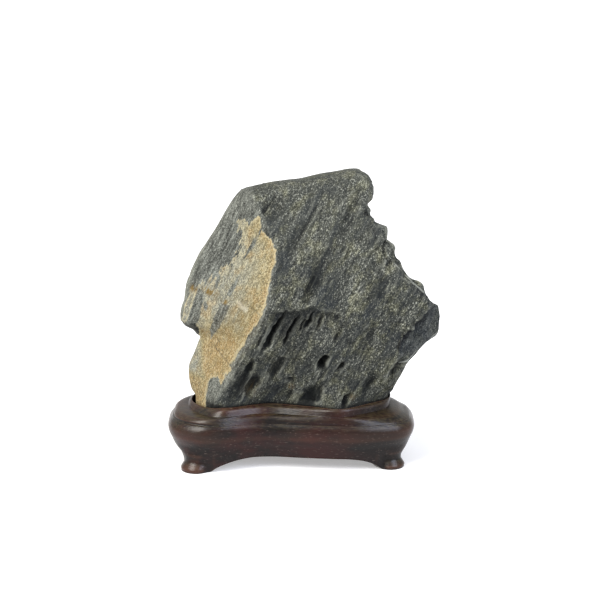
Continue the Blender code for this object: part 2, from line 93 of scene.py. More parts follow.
# The left edge, as (height, x): the heel, the waist, the notch, the lobe over it, the long slope.
LEFT_EDGE = (
    (24, -54.5), (30, -55.6), (33, -56.8), (37, -57.8), (40, -58.3), (45, -58.5), (48, -58), (51, -56.8),
    (54, -55.5), (58, -54), (61, -52.9), (62.4, -52.3), (63.2, -52.6), (64, -54), (65.8, -55.2),
    (66.6, -56), (67.3, -57.6), (68.2, -59.3), (69.4, -60.4), (70.6, -61.2), (71.6, -61.9), (75, -61.9),
    (78, -61.4), (80, -60.8), (82, -59.9), (86, -59.4), (90, -58.8), (92.6, -58), (94.5, -57),
    (97, -56.3), (99.7, -55), (103.8, -53), (107, -51.3), (110, -49.1), (114, -46.5), (118, -43.9),
    (122, -41.6), (126, -39.4), (130, -37.1), (133, -35.2), (136, -32.9), (138, -30.9),
)
# The right edge: the foot, the slope out to the snout, the snout, the broken steps up to the crown.
RIGHT_EDGE = (
    (24, 41), (31.5, 44.1), (34.8, 45.9), (38, 47.4), (41.3, 49.3), (44.6, 50.9), (46.8, 51.6),
    (49, 53.1), (52.3, 56.1), (55.6, 58.4), (58.9, 61.2), (60.5, 63.4), (62.1, 65.7), (63.6, 67),
    (66, 67.6), (70, 67.7), (73, 68), (76, 67.5), (78.6, 67), (79.3, 66.4), (80.1, 64.4), (80.7, 63.2),
    (81.6, 62.4), (83.2, 61.7), (84.2, 60.7), (87.3, 59.8), (88.6, 59.6), (89.3, 59.2), (90.3, 58.2),
    (91.2, 56.8), (91.7, 54.4), (92.1, 53), (94.3, 51.1), (97.3, 49.1), (100.3, 48.1), (101.4, 47.5),
    (102.2, 45.9), (104.3, 45), (106.3, 44.9), (107.6, 45.4), (109, 44.8), (110, 43.9), (110.7, 42.8),
    (111.1, 41), (116, 41.4), (118, 41.2), (118.8, 40.6), (119.3, 39.2), (119.8, 37.4), (120.2, 34.6),
    (121.6, 34.8), (122.6, 34.5), (123.3, 33), (124, 32.4), (126, 32.5), (127, 32.9), (128.4, 32),
    (129.6, 31), (130.4, 31.1), (131.3, 32.6), (132.4, 33.6), (135, 34.1), (138, 34),
)
# The crown, as (share of the way from the left edge to the right one, height).
CROWN = (
    (0, 138), (0.03, 138.9), (0.12, 140.5), (0.24, 142), (0.34, 142.7), (0.44, 143.1), (0.5, 144),
    (0.6, 145.7), (0.7, 147), (0.8, 148.6), (0.87, 148.8), (0.92, 147.6), (0.96, 144.6), (1, 138),
)
# The ridge between the smooth left facet and the rough face, as (height, x).
RIDGE = (
    (24, -47), (36, -44), (43.5, -37.6), (58, -29.6), (69, -23.7), (82, -19.2), (94, -16.7),
    (105.5, -14.6), (114, -15.2), (125, -20.5), (133, -24.5), (138, -26.5),
)
# The right end of the face, where it turns back into the broken side, as (height, x).
FACE_END = (
    (24, 38), (38, 42.4), (52, 46), (60, 46.8), (65, 48.8), (69, 52), (72, 56), (76, 59.2), (81, 60),
    (86, 59.6), (90, 57), (100.6, 46.8), (104, 43.4), (110, 38.8), (117, 34.4), (125, 30.6), (133, 29),
    (138, 29.6),
)
# How the face turns back there: under 1 is a square corner, 1 a round one, over 2 a hollow.
FACE_END_TURN = (
    (24, 0.8), (46, 0.9), (54, 1.3), (60, 1.7), (66, 2.7), (76, 2.9), (82, 1.2), (90, 0.8), (138, 0.9),
)
# Over how many millimetres of height, up and down, each of these is evened out. An edge that is read as
# the eye sees it is evened out as the right one is.
LEFT_EVENED = 0.3
RIGHT_EVENED = 0.15
RIDGE_EVENED = 2.0
FACE_END_EVENED = 1.5
TURN_EVENED = 3.0
DEPTH_EVENED = 4.0

# The depth of the stone before its edges: at the ridge, and at the right end of the face.
RIDGE_DEPTH = ((24, 19), (36, 21), (50, 24), (75, 26.5), (100, 25), (120, 19.5), (132, 14), (148, 7.5))
FACE_END_DEPTH = ((24, 19), (40, 20), (60, 19), (78, 18), (95, 18), (115, 17), (132, 12.5), (148, 7))
# The depth behind the edges: the swell near the left and the one near the right.
BACK_LEFT_DEPTH = ((24, 20), (40, 22), (60, 21), (75, 24), (100, 25), (120, 22), (148, 16))
BACK_RIGHT_DEPTH = ((24, 20), (45, 24), (66, 23), (82, 25), (100, 23), (120, 23), (148, 18))
# How each side rounds over into the crown, as (height, power of the superellipse).
FRONT_CROWN_ROUND = (4.5, 2.2)
BACK_CROWN_ROUND = (24.0, 1.9)
# How the back rounds over into the edges, as (share of the width, power of the superellipse).
BACK_LEFT_ROUND = (0.30, 2.0)
BACK_RIGHT_ROUND = (0.20, 2.4)
# The valley down the back: its depth as a share, its place and half width as shares of the width, how
# far it winds to either side, and the height over which it does.
BACK_VALLEY = (0.12, 0.42, 0.13, 0.12, 21.0)
# The edges' plane: how far it winds to and fro, over which height, how far the right edge lies behind
# the left one, and how far the top leans forward from which height up.
EDGE_WIND = (2.5, 17.0)
EDGE_SKEW = 2.0
CROWN_LEAN = (7.0, 95.0, 150.0)
# The share of the facet's width over which it rounds off at the left edge.
FACET_ROUNDING = 0.10
# The heights over which the rock passes from the outline of its seat to its own form, at its ends and
# over its faces.
ENDS_FREED = (RIM_TOP_Z - 2.0, RIM_TOP_Z + 4.0)
FACES_FREED = (RIM_TOP_Z - 1.0, RIM_TOP_Z + 16.0)
# The heights over which its relief sets in, and over which it is held inside its outline.
RELIEF_FREED = (RIM_TOP_Z, RIM_TOP_Z + 5.0)
OUTLINE_HELD = (RIM_TOP_Z, RIM_TOP_Z + 3.0)

# Shares of the columns over the front that lie left of the ridge, and left of the face's end.
RIDGE_COLUMN = 0.24
FACE_END_COLUMN = 0.84
# The rows, as (share of the rows, height): close together where the slots and hollows are.
ROW_HEIGHTS = ((0, ROCK_FOOT_Z), (0.05, 30.5), (0.10, 35), (0.56, 82), (0.84, 127), (1, ROCK_CORNER_Z))
# The last rows are drawn up towards the corners, by this share in the end, from this share of the rows on.
CORNER_PULL = 0.5
CORNER_PULL_FROM = 0.8

# ---- the relief of the rock --------------------------------------------------------------------

GRAIN_ANGLE = math.radians(62.0)    # the bedding climbs to the right at this angle
GRAIN_STRETCH = 3.2                 # lumps are this many times as long along the bedding as across,
GRAIN_DEPTH = 1.4                   # and this many times as deep from front to back
# Rough skin, as (height, cell, seed) for each size of lump.
FACE_LUMPS = ((0.6, 6.5, 11), (0.3, 3.4, 12), (0.26, 1.8, 14), (0.2, 1.0, 15))
FACET_LUMPS = ((0.25, 9.0, 13), (0.16, 2.2, 16), (0.1, 1.0, 17))
BACK_LUMPS = ((1.2, 8.0, 21), (0.7, 3.6, 22), (0.5, 1.9, 23), (0.3, 1.0, 24))
SIDE_LUMPS = ((1.8, 7.0, 31), (1.0, 3.6, 32), (0.5, 1.9, 33), (0.3, 1.0, 34))
BROAD_LUMPS = ((0.8, 22.0, 41),)
# Fissures along the bedding, as (depth, cell, seed, start), and the broken side's blocks, as
# (height, cell, seed, steps).
FISSURES = ((0.7, 3.0, 51, 0.42), (0.35, 1.5, 52, 0.34))
BLOCKS = ((2.2, 6.0, 61, 2.0), (1.0, 2.6, 62, 2.0))
# How the steps of the broken side wander up and down behind and before its edge, as (height, cell,
# seed), and how far off the edge's plane they do so in full.
STEPS_STRAY = ((7.0, 9.0, 81), (2.5, 4.0, 82))
STRAY_REACH = 5.0
# How the ledges and hollows stray from their places, in front and at the back, as (reach, cell, seed).
RAGGED = ((0.8, 5.0, 71), (0.55, 1.9, 72))
BACK_RAGGED = ((3.2, 9.0, 73), (1.4, 3.6, 74))
LEDGE_WAVE = (0.8, 4.3)             # the brow of a ledge wanders up and down: (height, reach)
# Ledges across the face, as (left x, left z, right x, right z, overhang, fade below).
LEDGES = (
    (-17, 82, 6, 83.5, 2.6, 9),
    (4, 80.5, 20, 80, 2.0, 8),
    (-36, 57, 10, 58.5, 1.3, 10),
    (-8, 106, 24, 116, 0.9, 10),
)
# Slots and hollows in the face, as (x, z, length, width, depth), long along the bedding.
HOLLOWS = (
    (-15.0, 71.2, 20, 2.6, 5.4), (-6.7, 71.5, 18, 1.9, 5.5), (-1.3, 73.3, 8, 1.6, 3.6),
    (1.8, 75.6, 9.5, 1.8, 4.2), (7.4, 75.8, 7, 1.8, 2.0), (-7.0, 71.0, 26, 19.0, 1.7),
    (-21.0, 69.0, 14, 1.8, 1.2), (-25.9, 42.4, 12, 4.8, 3.6), (-27.0, 52.0, 8, 3.4, 3.2),
    (-13.4, 52.0, 11, 4.0, 2.6), (8.6, 53.6, 6.0, 3.8, 5.5), (10.4, 56.2, 4.4, 3.0, 5.0),
    (18.6, 52.6, 3.8, 2.0, 2.6), (2.0, 35.8, 14, 6.2, 4.6), (6.4, 38.8, 9, 4.4, 2.8),
    (-32.0, 42.0, 22, 6.0, 2.2), (-6.6, 45.8, 3.6, 2.0, 1.4), (20.8, 34.6, 6.5, 3.0, 4.0),
    (-8.0, 62.5, 9, 2.4, 1.4), (4.0, 95.0, 24, 7.0, 2.0), (-14.5, 131.0, 14, 9.0, 1.6),
    (20.0, 124.0, 20, 7.0, 1.3), (30.0, 64.0, 20, 7.0, 1.4), (-4.0, 117.0, 22, 6.0, 1.2),
    (35.0, 92.0, 18, 7.0, 1.2), (45.6, 49.8, 12, 4.6, 3.4), (33.0, 44.0, 12, 5.0, 1.6),
)
# Knobs of the broken right side, the lip behind the face's end, and the lobe over the notch at the
# left, as (x, y, z, radius, height).
KNOBS = (
    (61, -6, 71, 6.0, 2.4), (58, -6, 62, 4.5, 1.6), (56, -8, 67, 4.0, -2.0),
    (-57, -8, 71, 6.0, 1.2), (-57, 6, 46, 7.0, 1.0),
)
# Edges that stand up and cracks that are cut in, as (points on the face as (x, z), width, height): the
# edge above the snout and the cut behind it, the lip below it and the groove where the snout begins,
# three cuts between the steps, and two on the underside of the lobe, over the notch.
SEAMS = (
    (((43.6, 103.6), (45.4, 101.9), (49.8, 97.0), (54.2, 93.2), (58.0, 89.8)), 0.4, 0.6),
    (((50.2, 98.8), (54.6, 94.8), (58.8, 90.6)), 0.5, -0.9),
    (((66.6, 64.2), (62.3, 61.8), (59.1, 59.5), (54.1, 56.2), (48.4, 52.6)), 0.45, 0.6),
    (((60.0, 76.0), (58.4, 73.4), (55.4, 70.9), (52.4, 68.6), (49.4, 65.4), (46.6, 61.4)), 1.5, -0.9),
    (((40.2, 115.6), (38.1, 112.5), (38.3, 109.7), (39.5, 106.8), (42.0, 104.0)), 0.7, -0.7),
    (((43.6, 107.0), (44.5, 104.5), (45.9, 101.8), (48.4, 98.8)), 0.6, -0.45),
    (((32.0, 122.2), (34.0, 119.4), (34.4, 116.0)), 0.7, -0.5),
    (((-60.6, 69.4), (-57.0, 67.2), (-54.4, 66.4), (-52.0, 64.6)), 1.8, -1.1),
    (((-55.6, 70.6), (-53.2, 69.6), (-51.8, 67.2), (-51.2, 64.4)), 1.6, -1.1),
)
# Hollows in the back, as (x, z, length, width, depth).
BACK_HOLLOWS = (
    (-30, 88, 28, 10, 3.0), (10, 104, 34, 11, 3.2), (34, 70, 20, 9, 3.6), (-8, 62, 18, 8, 3.0),
    (-36, 48, 14, 7, 3.2), (22, 46, 14, 9, 3.2), (-6, 128, 20, 9, 2.2), (-16, 80, 10, 6, 2.4),
)
# Near the edges the relief dies down, as (reach, share, how much the distance back from them counts).
EDGE_CALM = (1.8, 0.85, 0.4)
# A normal that leans this far towards a side, or away from it, belongs to that side: none to all.
FACING = (0.15, 0.65)
BROKEN_SIDE = (20.0, 45.0)          # the broken side begins between these x
# The heights between which the broken side takes its fresh blue-black and painted shade, as (from
# none, to all), at its foot and at its top.
FRESH_AND_SHADE_FOOT = (52.0, 60.0)
FRESH_AND_SHADE_TOP = (93.0, 86.0)
# How much painted shade the fissures and the back's hollows get for their depth, against the
# hollows of the face.
FISSURE_SHADE = 1.3
BACK_HOLLOW_SHADE = 0.5
# How many rounds of smoothing an edge is measured against: a fine one on the stone and on the stand, and
# a broad form on either.
STONE_EDGE_ROUNDS = 4
STAND_EDGE_ROUNDS = 6
FORM_ROUNDS = 40

# ---- the markings of the rock, on its face as (x, z) ---------------------------------------------

# The ochre stain on the left facet.
STAIN = (
    (-30.9, 125.8), (-28.2, 124.0), (-27.0, 121.4), (-25.6, 124.0), (-22.4, 127.4), (-20.8, 126.2),
    (-21.2, 122.0), (-19.4, 119.4), (-15.6, 116.6), (-13.8, 111.6), (-13.9, 106.3), (-15.4, 103.0),
    (-16.2, 99.4), (-17.4, 93.6), (-18.2, 88.0), (-20.4, 81.6), (-22.8, 76.4), (-25.6, 72.6),
    (-27.4, 68.8), (-30.4, 63.8), (-32.6, 60.4), (-34.4, 56.6), (-36.6, 53.2), (-36.2, 51.0),
    (-38.6, 48.4), (-39.4, 45.6), (-41.4, 43.4), (-43.0, 46.0), (-46.2, 44.4), (-48.2, 41.2),
    (-48.8, 37.6), (-49.2, 33.0), (-49.4, 27.0), (-62.0, 26.0), (-66.0, 60.0), (-52.6, 62.0),
    (-52.6, 68.0), (-54.6, 72.0), (-55.6, 76.0), (-53.6, 80.0), (-52.4, 84.0), (-52.0, 88.6),
    (-50.4, 91.6), (-45.2, 94.6), (-42.0, 97.4), (-38.8, 100.6), (-34.8, 103.8), (-32.6, 106.6),
    (-30.4, 110.5), (-30.2, 115.0), (-31.4, 119.6), (-31.8, 122.6),
)
# Its right side, as (height, x): the colour is strongest there.
STAIN_RIGHT = (
    (30, -40), (45, -39), (51, -36.2), (56.6, -34.4), (63.8, -30.4), (72.6, -25.6), (81.6, -20.4),
    (93.6, -17.4), (103, -15.4), (111.6, -13.8), (119.4, -19.4), (127, -21),
)
# The stain is orange within a reach of its right side, and where it lies low: between two heights, from
# none to all. Far to the left, between two x, it is not, apart from its foot, between two heights.
ORANGE_REACH = 10.0
ORANGE_LOW = (86.0, 60.0)
ORANGE_FROM_X = (-56.0, -48.0)
ORANGE_FOOT = (47.0, 41.0)
# Its border is feathered this far to the left of its right side, and above these heights.
FEATHERED_LEFT = (6.0, 16.0)
FEATHERED_ABOVE = (84.0, 92.0)
# Grey streaks that the stain leaves bare.
STREAKS = (
    ((-19.2, 123.4), (-22.0, 120.0), (-26.4, 112.6), (-29.4, 106.0), (-26.6, 110.4), (-24.0, 113.6),
     (-22.4, 117.6)),
    ((-31.6, 99.2), (-34.6, 94.0), (-38.4, 87.4), (-36.4, 87.2), (-33.6, 92.6)),
    ((-41.2, 83.2), (-36.8, 83.6), (-38.2, 78.6), (-40.8, 73.4), (-42.8, 69.6), (-46.6, 63.6),
     (-46.8, 69.0), (-44.6, 75.6)),
    ((-52.6, 89.0), (-49.2, 88.4), (-50.2, 84.0), (-51.0, 79.0), (-52.4, 74.0), (-54.0, 70.6),
     (-58.4, 70.4), (-57.0, 76.0), (-54.8, 81.5), (-53.4, 85.4)),
    ((-42.0, 98.0), (-41.0, 95.4), (-42.6, 90.0), (-44.2, 87.6), (-44.0, 92.0)),
    ((-49.0, 83.4), (-47.4, 81.0), (-48.0, 78.0), (-49.6, 80.0)),
)
# The pale stripe on the left lobe.
LOBE_STRIPE = (
    (-55.6, 88.2), (-53.2, 87.8), (-54.8, 82.5), (-57.4, 74.5), (-59.6, 70.2), (-61.2, 71.6), (-60.2, 77.0),
    (-58.6, 82.5),
)
# Rust, as (x, z, radius, strength), and pale spots painted as highlights, mostly beside the upper
# crack, laid out the same way.
RUST_SPOTS = (
    (-54.4, 88.4, 1.7, 1.3), (-56.2, 89.4, 1.0, 1.0), (-48.6, 89.0, 1.5, 1.3), (-46.4, 87.8, 1.6, 1.3),
    (-44.4, 88.8, 1.6, 1.3), (-38.8, 84.4, 1.1, 1.4), (-25.9, 40.5, 3.4, 0.18),
    (-31.0, 77.0, 7.0, 0.4), (-37.0, 68.0, 7.0, 0.35), (-27.0, 85.0, 5.0, 0.3), (-41.0, 55.0, 6.0, 0.3),
    (-6.6, 41.6, 1.2, 0.9), (24.0, 36.0, 1.4, 0.5),
)
CRACK_HIGHLIGHTS = ((-32.2, 85.4, 1.8, 0.5), (-30.4, 83.2, 2.0, 0.5), (-28.0, 82.4, 1.6, 0.5), (-38.0, 83.4, 1.6, 0.3))
# Hair cracks across the stain, as (x, z, x, z), drawn wider than they are so that they show.
CRACKS = ((-30.8, 87.6, -20.6, 80.0), (-45.2, 60.8, -35.2, 52.2))
CRACK_WIDTH = 0.45


# ---- helpers -------------------------------------------------------------------------------------

def along(profile, at, soften=0.0):
    """A profile of (position, value) pairs read at the given positions, averaged over +-soften."""
    positions, values = np.array(profile, float).T
    offsets = np.array([-1.0, -0.5, 0.0, 0.5, 1.0]) * soften
    return sum(np.interp(at + offset, positions, values) for offset in offsets) / len(offsets)


def blended(low, high, share):
    """The value that lies a share of the way from low to high."""
    return low + (high - low) * share


def smooth_step(low, high, value):
    """0 below low, 1 above high, and an S curve between them."""
    t = np.clip((value - low) / (high - low), 0.0, 1.0)
    return t * t * (3.0 - 2.0 * t)


def quarter_round(distance, reach, power):
    """A quarter of a superellipse: 0 at distance 0, where it starts upright, and 1 from reach on."""
    return (1.0 - (1.0 - np.clip(distance / reach, 0.0, 1.0)) ** power) ** (1.0 / power)


def value_noise(points, cell, seed):
    """Smooth noise from -1 to 1: random values at the corners of cubes, blended inside each cube."""
    table = np.random.RandomState(seed).permutation(256)
    lattice = points / cell
    base = np.floor(lattice).astype(int)
    part = lattice - base
    part = part * part * part * (part * (part * 6.0 - 15.0) + 10.0)
    total = np.zeros(len(points))
    for corner in range(8):
        step = np.array([corner & 1, corner >> 1 & 1, corner >> 2 & 1])
        weight = np.where(step, part, 1.0 - part).prod(axis=1)
        x, y, z = ((base + step) & 255).T
        total += weight * table[(table[(table[x] + y) & 255] + z) & 255]
    return total / 127.5 - 1.0


def lumps(points, layers):
    """The sum of several sizes of smooth noise."""
    return sum(height * value_noise(points, cell, seed) for height, cell, seed in layers)


def vertex_normals(points, quads):
    """Unit normals at the points: the sum of the normals of the faces that meet there."""
    crossed = np.cross(points[quads[:, 2]] - points[quads[:, 0]], points[quads[:, 3]] - points[quads[:, 1]])
    normals = np.zeros_like(points)
    for corner in range(4):
        np.add.at(normals, quads[:, corner], crossed)
    return normals / np.maximum(np.linalg.norm(normals, axis=1, keepdims=True), 1e-12)


def standing_out(points, quads, normals, rounds):
    """How far each point stands out from its surroundings, along its normal.

    The surroundings are the points moved half of the way to the mean of their neighbours, again and
    again: edges stand out, and grooves and corners lie in.
    """
    starts, ends = np.concatenate([quads[:, [corner, (corner + 1) % 4]] for corner in range(4)]).T
    count = np.maximum(np.bincount(starts, minlength=len(points)), 1)
    mean = points
    for _ in range(rounds):
        around = [np.bincount(starts, mean[ends, axis], len(points)) for axis in range(3)]
        mean = 0.5 * (mean + np.stack(around, axis=1) / count[:, None])
    return ((points - mean) * normals).sum(axis=1)


def inside_outline(x, z, outline):
    """How far each point lies inside a closed outline: positive inside, negative outside.

    The distance is to the nearest side, and its sign comes from how many sides a ray to the right
    crosses.
    """
    start = np.array(outline, float)
    end = np.roll(start, -1, axis=0)
    side = end - start
    from_start = np.stack([x, z], axis=-1)[:, None] - start[None]
    share = np.clip((from_start * side).sum(-1) / (side * side).sum(-1), 0.0, 1.0)
    distance = np.linalg.norm(from_start - share[..., None] * side, axis=-1).min(axis=1)
    spans = (start[:, 1] > z[:, None]) != (end[:, 1] > z[:, None])
    rise = np.where(side[:, 1] == 0.0, 1.0, side[:, 1])
    crossing_x = start[:, 0] + (z[:, None] - start[:, 1]) * side[:, 0] / rise
    odd = (spans & (x[:, None] < crossing_x)).sum(axis=1) % 2 == 1
    return np.where(odd, distance, -distance)


def ring_quads(rows, columns):
    """Quads between stacked closed rings of points, numbered row by row."""
    row, column = np.mgrid[0:rows - 1, 0:columns]
    following = (column + 1) % columns
    corners = (row * columns + column, row * columns + following,
               (row + 1) * columns + following, (row + 1) * columns + column)
    return np.stack([corner.ravel() for corner in corners], axis=1)


def new_piece(name, points_mm, faces, material, marks=None):
    """A smooth mesh object from points in millimetres, with one material and its marks as attributes."""
    mesh = bpy.data.meshes.new(name)
    mesh.from_pydata((points_mm * MM).tolist(), [], faces)
    mesh.shade_smooth()
    for mark, values in (marks or {}).items():
        attribute = mesh.attributes.new(mark, "FLOAT", "POINT")
        attribute.data.foreach_set("value", np.asarray(values, np.float32))
    mesh.materials.append(material)
    made = bpy.data.objects.new(name, mesh)
    bpy.context.scene.collection.objects.link(made)
    return made


def linear(colour):
    """The linear colour, with alpha, of an sRGB colour written as #rrggbb."""
    shares = np.array([int(colour[i:i + 2], 16) for i in (1, 3, 5)]) / 255.0
    curve = np.where(shares <= 0.04045, shares / 12.92, ((shares + 0.055) / 1.055) ** 2.4)
    return (*curve.tolist(), 1.0)


def shaded(colour, share):
    """A colour made darker or lighter: its parts times a share, with full alpha."""
    return (*[min(part * share, 1.0) for part in colour[:3]], 1.0)


def add(tree, kind, inputs=None, ramp=None, **settings):
    """A new node with its settings, its colour stops, and its inputs set to values or linked to sockets."""
    node = tree.nodes.new(kind)
    for setting, value in settings.items():
        setattr(node, setting, value)
    for place, colour in (ramp or ())[2:]:
        node.color_ramp.elements.new(place)
    for stop, (place, colour) in zip(node.color_ramp.elements if ramp else (), ramp or ()):
        stop.position, stop.color = place, linear(colour) if isinstance(colour, str) else colour
    for socket, value in (inputs or {}).items():
        if isinstance(value, bpy.types.NodeSocket):
            tree.links.new(value, node.inputs[socket])
        else:
            node.inputs[socket].default_value = linear(value) if isinstance(value, str) else value
    return node


def noises(tree, place, table, turn=0.0):
    """The noises of a table, each as long along the grain as the table says; the grain climbs by turn."""
    made = {}
    for name, (stretch, size, detail, roughness) in table.items():
        mapped = add(tree, "ShaderNodeMapping", {
            "Vector": place, "Rotation": (0.0, -turn, 0.0), "Scale": (stretch * MM, MM, MM),
        }, vector_type="TEXTURE").outputs["Vector"]
        made[name] = add(tree, "ShaderNodeTexNoise", {
            "Vector": mapped, "Scale": 1.0 / size, "Detail": detail, "Roughness": roughness}).outputs[0]
    return made


def covered(tree, colour, layers):
    """A colour under layers, as (cover, mark or noise, from, to, share).

    Each layer covers what lies before it by a share that rises from 0 to the one given, as the mark or
    the noise goes from the first number to the second.
    """
    for cover, mark, low, high, most in layers:
        share = add(tree, "ShaderNodeMapRange", {
            "Value": mark, "From Min": low, "From Max": high, "To Max": most}).outputs[0]
        colour = add(tree, "ShaderNodeMix", {0: share, 6: colour, 7: cover}, data_type="RGBA").outputs[2]
    return colour


def new_material(name):
    """An empty material with its Principled shader and its node tree."""
    material = bpy.data.materials.new(name)
    material.use_nodes = True
    tree = material.node_tree
    return material, tree, tree.nodes["Principled BSDF"]


# ---- the rock ------------------------------------------------------------------------------------

def plan_outline(turn, plan, end_inset=0.0, face_inset=0.0):
    """A rounded oblong about the stand's centre, as x and y, at the angles turn.

    It is a superellipse, drawn in by end_inset at its ends and by face_inset in front and behind.
    Its front has a bulge at the left, a waist, and a bulge at the right.
    """
    half_length, front, back, front_squareness, back_squareness, *bulges = plan
    power = 2.0 / np.where(np.sin(turn) < 0, front_squareness, back_squareness)
    across = np.sign(np.cos(turn)) * np.abs(np.cos(turn)) ** power
    deep = np.sign(np.sin(turn)) * np.abs(np.sin(turn)) ** power
    wave = sum(bulge * np.exp(-(((across - place) / width) ** 2))
               for bulge, (place, width) in zip(bulges, FRONT_WAVES))
    depth = np.where(deep < 0, front + wave, back) - face_inset
    return STAND_CENTRE_X + (half_length - end_inset) * across, depth * deep


def rock_grid(half, rows):
    """The plain form of the rock: points as (rows, columns, 3), with no relief.

    The columns start at the left edge, run over the front to the right edge, and come back behind.
    """
    column = np.arange(2 * half)
    way = np.where(column <= half, column, 2 * half - column) / half
    way, row = np.meshgrid(way, np.linspace(0.0, 1.0, rows))
    behind = np.broadcast_to(column > half, way.shape)
    edge_z = along(ROW_HEIGHTS, row)
    edge_z = blended(edge_z, ROCK_CORNER_Z, CORNER_PULL * smooth_step(CORNER_PULL_FROM, 1.0, row))
    left = along(LEFT_EDGE, edge_z, LEFT_EVENED)
    right = along(RIGHT_EDGE, edge_z, RIGHT_EVENED)

    front_x, front_depth = front_section(way, edge_z, left, right)
    front_share = (front_x - left) / (right - left)
    back_share = blended(0.5 - 0.5 * np.cos(math.pi * way), front_share, row ** 8)
    share = np.where(behind, back_share, front_share)
    x = blended(left, right, share)

    crown = along(CROWN, share, 0.02)
    z = blended(ROCK_FOOT_Z, crown, (edge_z - ROCK_FOOT_Z) / (ROCK_CORNER_Z - ROCK_FOOT_Z))
    front_round = quarter_round(crown - z, *FRONT_CROWN_ROUND)
    back_round = quarter_round(crown - z, *BACK_CROWN_ROUND)
    y = edge_plane(share, z)
    y = y + np.where(behind, back_depth(share, z) * back_round, -front_depth * front_round)
    past_end = np.clip(1.0 - (1.0 - way) / (1.0 - FACE_END_COLUMN), 0.0, 1.0)
    near_right = np.where(behind, share ** 6, past_end)
    near_left = np.where(behind, (1.0 - share) ** 6, np.clip(1.0 - way / RIDGE_COLUMN, 0.0, 1.0) ** 3)
    off_edge = smooth_step(0.0, STRAY_REACH, np.abs(y - edge_plane(1.0, z)))
    stray = lumps(np.stack([x, y, z], axis=-1).reshape(-1, 3), STEPS_STRAY).reshape(z.shape) * off_edge
    x = x + (seen_edge(RIGHT_EDGE, 1.0, y, z + stray) - right) * near_right
    x = x + (seen_edge(LEFT_EDGE, 0.0, y, z) - left) * near_left

    turn = math.pi + math.pi * np.where(behind, 2.0 - way, way)
    foot_x, foot_y = plan_outline(turn, SEAT_PLAN, SEAT_GAP, SEAT_GAP)
    foot_x = foot_x + (LEFT_SEAT_GAP - SEAT_GAP) * smooth_step(RIDGE_COLUMN, 0.0, way)
    x = blended(foot_x, x, smooth_step(*ENDS_FREED, z))
    y = blended(foot_y, y, smooth_step(*FACES_FREED, z))
    return np.stack([x, y, z], axis=-1)


def edge_plane(share, z):
    """How far back the plane of the edges lies: it winds with the height, turns with the share of the
    way to the right edge, and leans forward at the top."""
    lean, lean_from, lean_to = CROWN_LEAN
    wound = EDGE_WIND[0] * np.sin(z / EDGE_WIND[1]) + EDGE_SKEW * (share - 0.5)
    return wound - lean * smooth_step(lean_from, lean_to, z)


def seen_edge(edge, share, y, z):
    """The x at which a point at (y, z) lies just behind or before an edge, as the eye sees it.

    The line from the eye through the point meets the edges' plane, the edge is read at the height of
    that place, and its x is carried back along the line.
    """
    scale = (y - EYE[1]) / (edge_plane(share, z) - EYE[1])
    seen_z = np.clip(EYE[2] + (z - EYE[2]) / scale, ROCK_FOOT_Z, ROCK_CORNER_Z)
    return EYE[0] + (along(edge, seen_z, RIGHT_EVENED) - EYE[0]) * scale


def held_in(points):
    """The points, with those that the eye sees past an edge of the rock drawn in to it."""
    x, y, z = points.T
    held = np.clip(x, seen_edge(LEFT_EDGE, 0.0, y, z), seen_edge(RIGHT_EDGE, 1.0, y, z))
    return np.stack([blended(x, held, smooth_step(*OUTLINE_HELD, z)), y, z], axis=1)


def front_section(way, z, left, right):
    """The level section over the front: x, and the depth in front of the edges.

    From the left edge the facet rises straight to the ridge, with its first part rounded off. From
    the ridge the face runs straight to its right end. There it turns back to the right edge along a
    superellipse, which is a corner or a hollow according to its power.
    """
    ridge_x = along(RIDGE, z, RIDGE_EVENED)
    end_x = along(FACE_END, z, FACE_END_EVENED)
    ridge_depth = along(RIDGE_DEPTH, z, DEPTH_EVENED)
    end_depth = along(FACE_END_DEPTH, z, DEPTH_EVENED)

    on_facet = np.clip(way / RIDGE_COLUMN, 0.0, 1.0)
    rise = np.sqrt(on_facet * (on_facet + 2.0 * FACET_ROUNDING)) / math.sqrt(1.0 + 2.0 * FACET_ROUNDING)
    facet_x = blended(left, ridge_x, on_facet)
    facet_depth = ridge_depth * rise

    on_face = np.clip((way - RIDGE_COLUMN) / (FACE_END_COLUMN - RIDGE_COLUMN), 0.0, 1.0)
    face_x = blended(ridge_x, end_x, on_face)
    face_depth = blended(ridge_depth, end_depth, on_face)

    on_side = np.clip((way - FACE_END_COLUMN) / (1.0 - FACE_END_COLUMN), 0.0, 1.0)
    power = along(FACE_END_TURN, z, TURN_EVENED)
    side_x = blended(end_x, right, np.sin(0.5 * math.pi * on_side) ** power)
    side_depth = end_depth * np.abs(np.cos(0.5 * math.pi * on_side)) ** power

    stretches = [way < RIDGE_COLUMN, way < FACE_END_COLUMN]
    x = np.select(stretches, [facet_x, face_x], side_x)
    return x, np.select(stretches, [facet_depth, face_depth], side_depth)


def back_depth(share, z):
    """How far the back stands behind the edges: two swells with a winding valley between."""
    left_depth = along(BACK_LEFT_DEPTH, z, DEPTH_EVENED)
    depth = blended(left_depth, along(BACK_RIGHT_DEPTH, z, DEPTH_EVENED), share)
    deepest, place, half_width, wind, wind_height = BACK_VALLEY
    off_valley = (share - place - wind * np.sin(z / wind_height)) / half_width
    depth = depth * (1.0 - deepest * np.exp(-(off_valley ** 2)))
    return depth * quarter_round(share, *BACK_LEFT_ROUND) * quarter_round(1.0 - share, *BACK_RIGHT_ROUND)


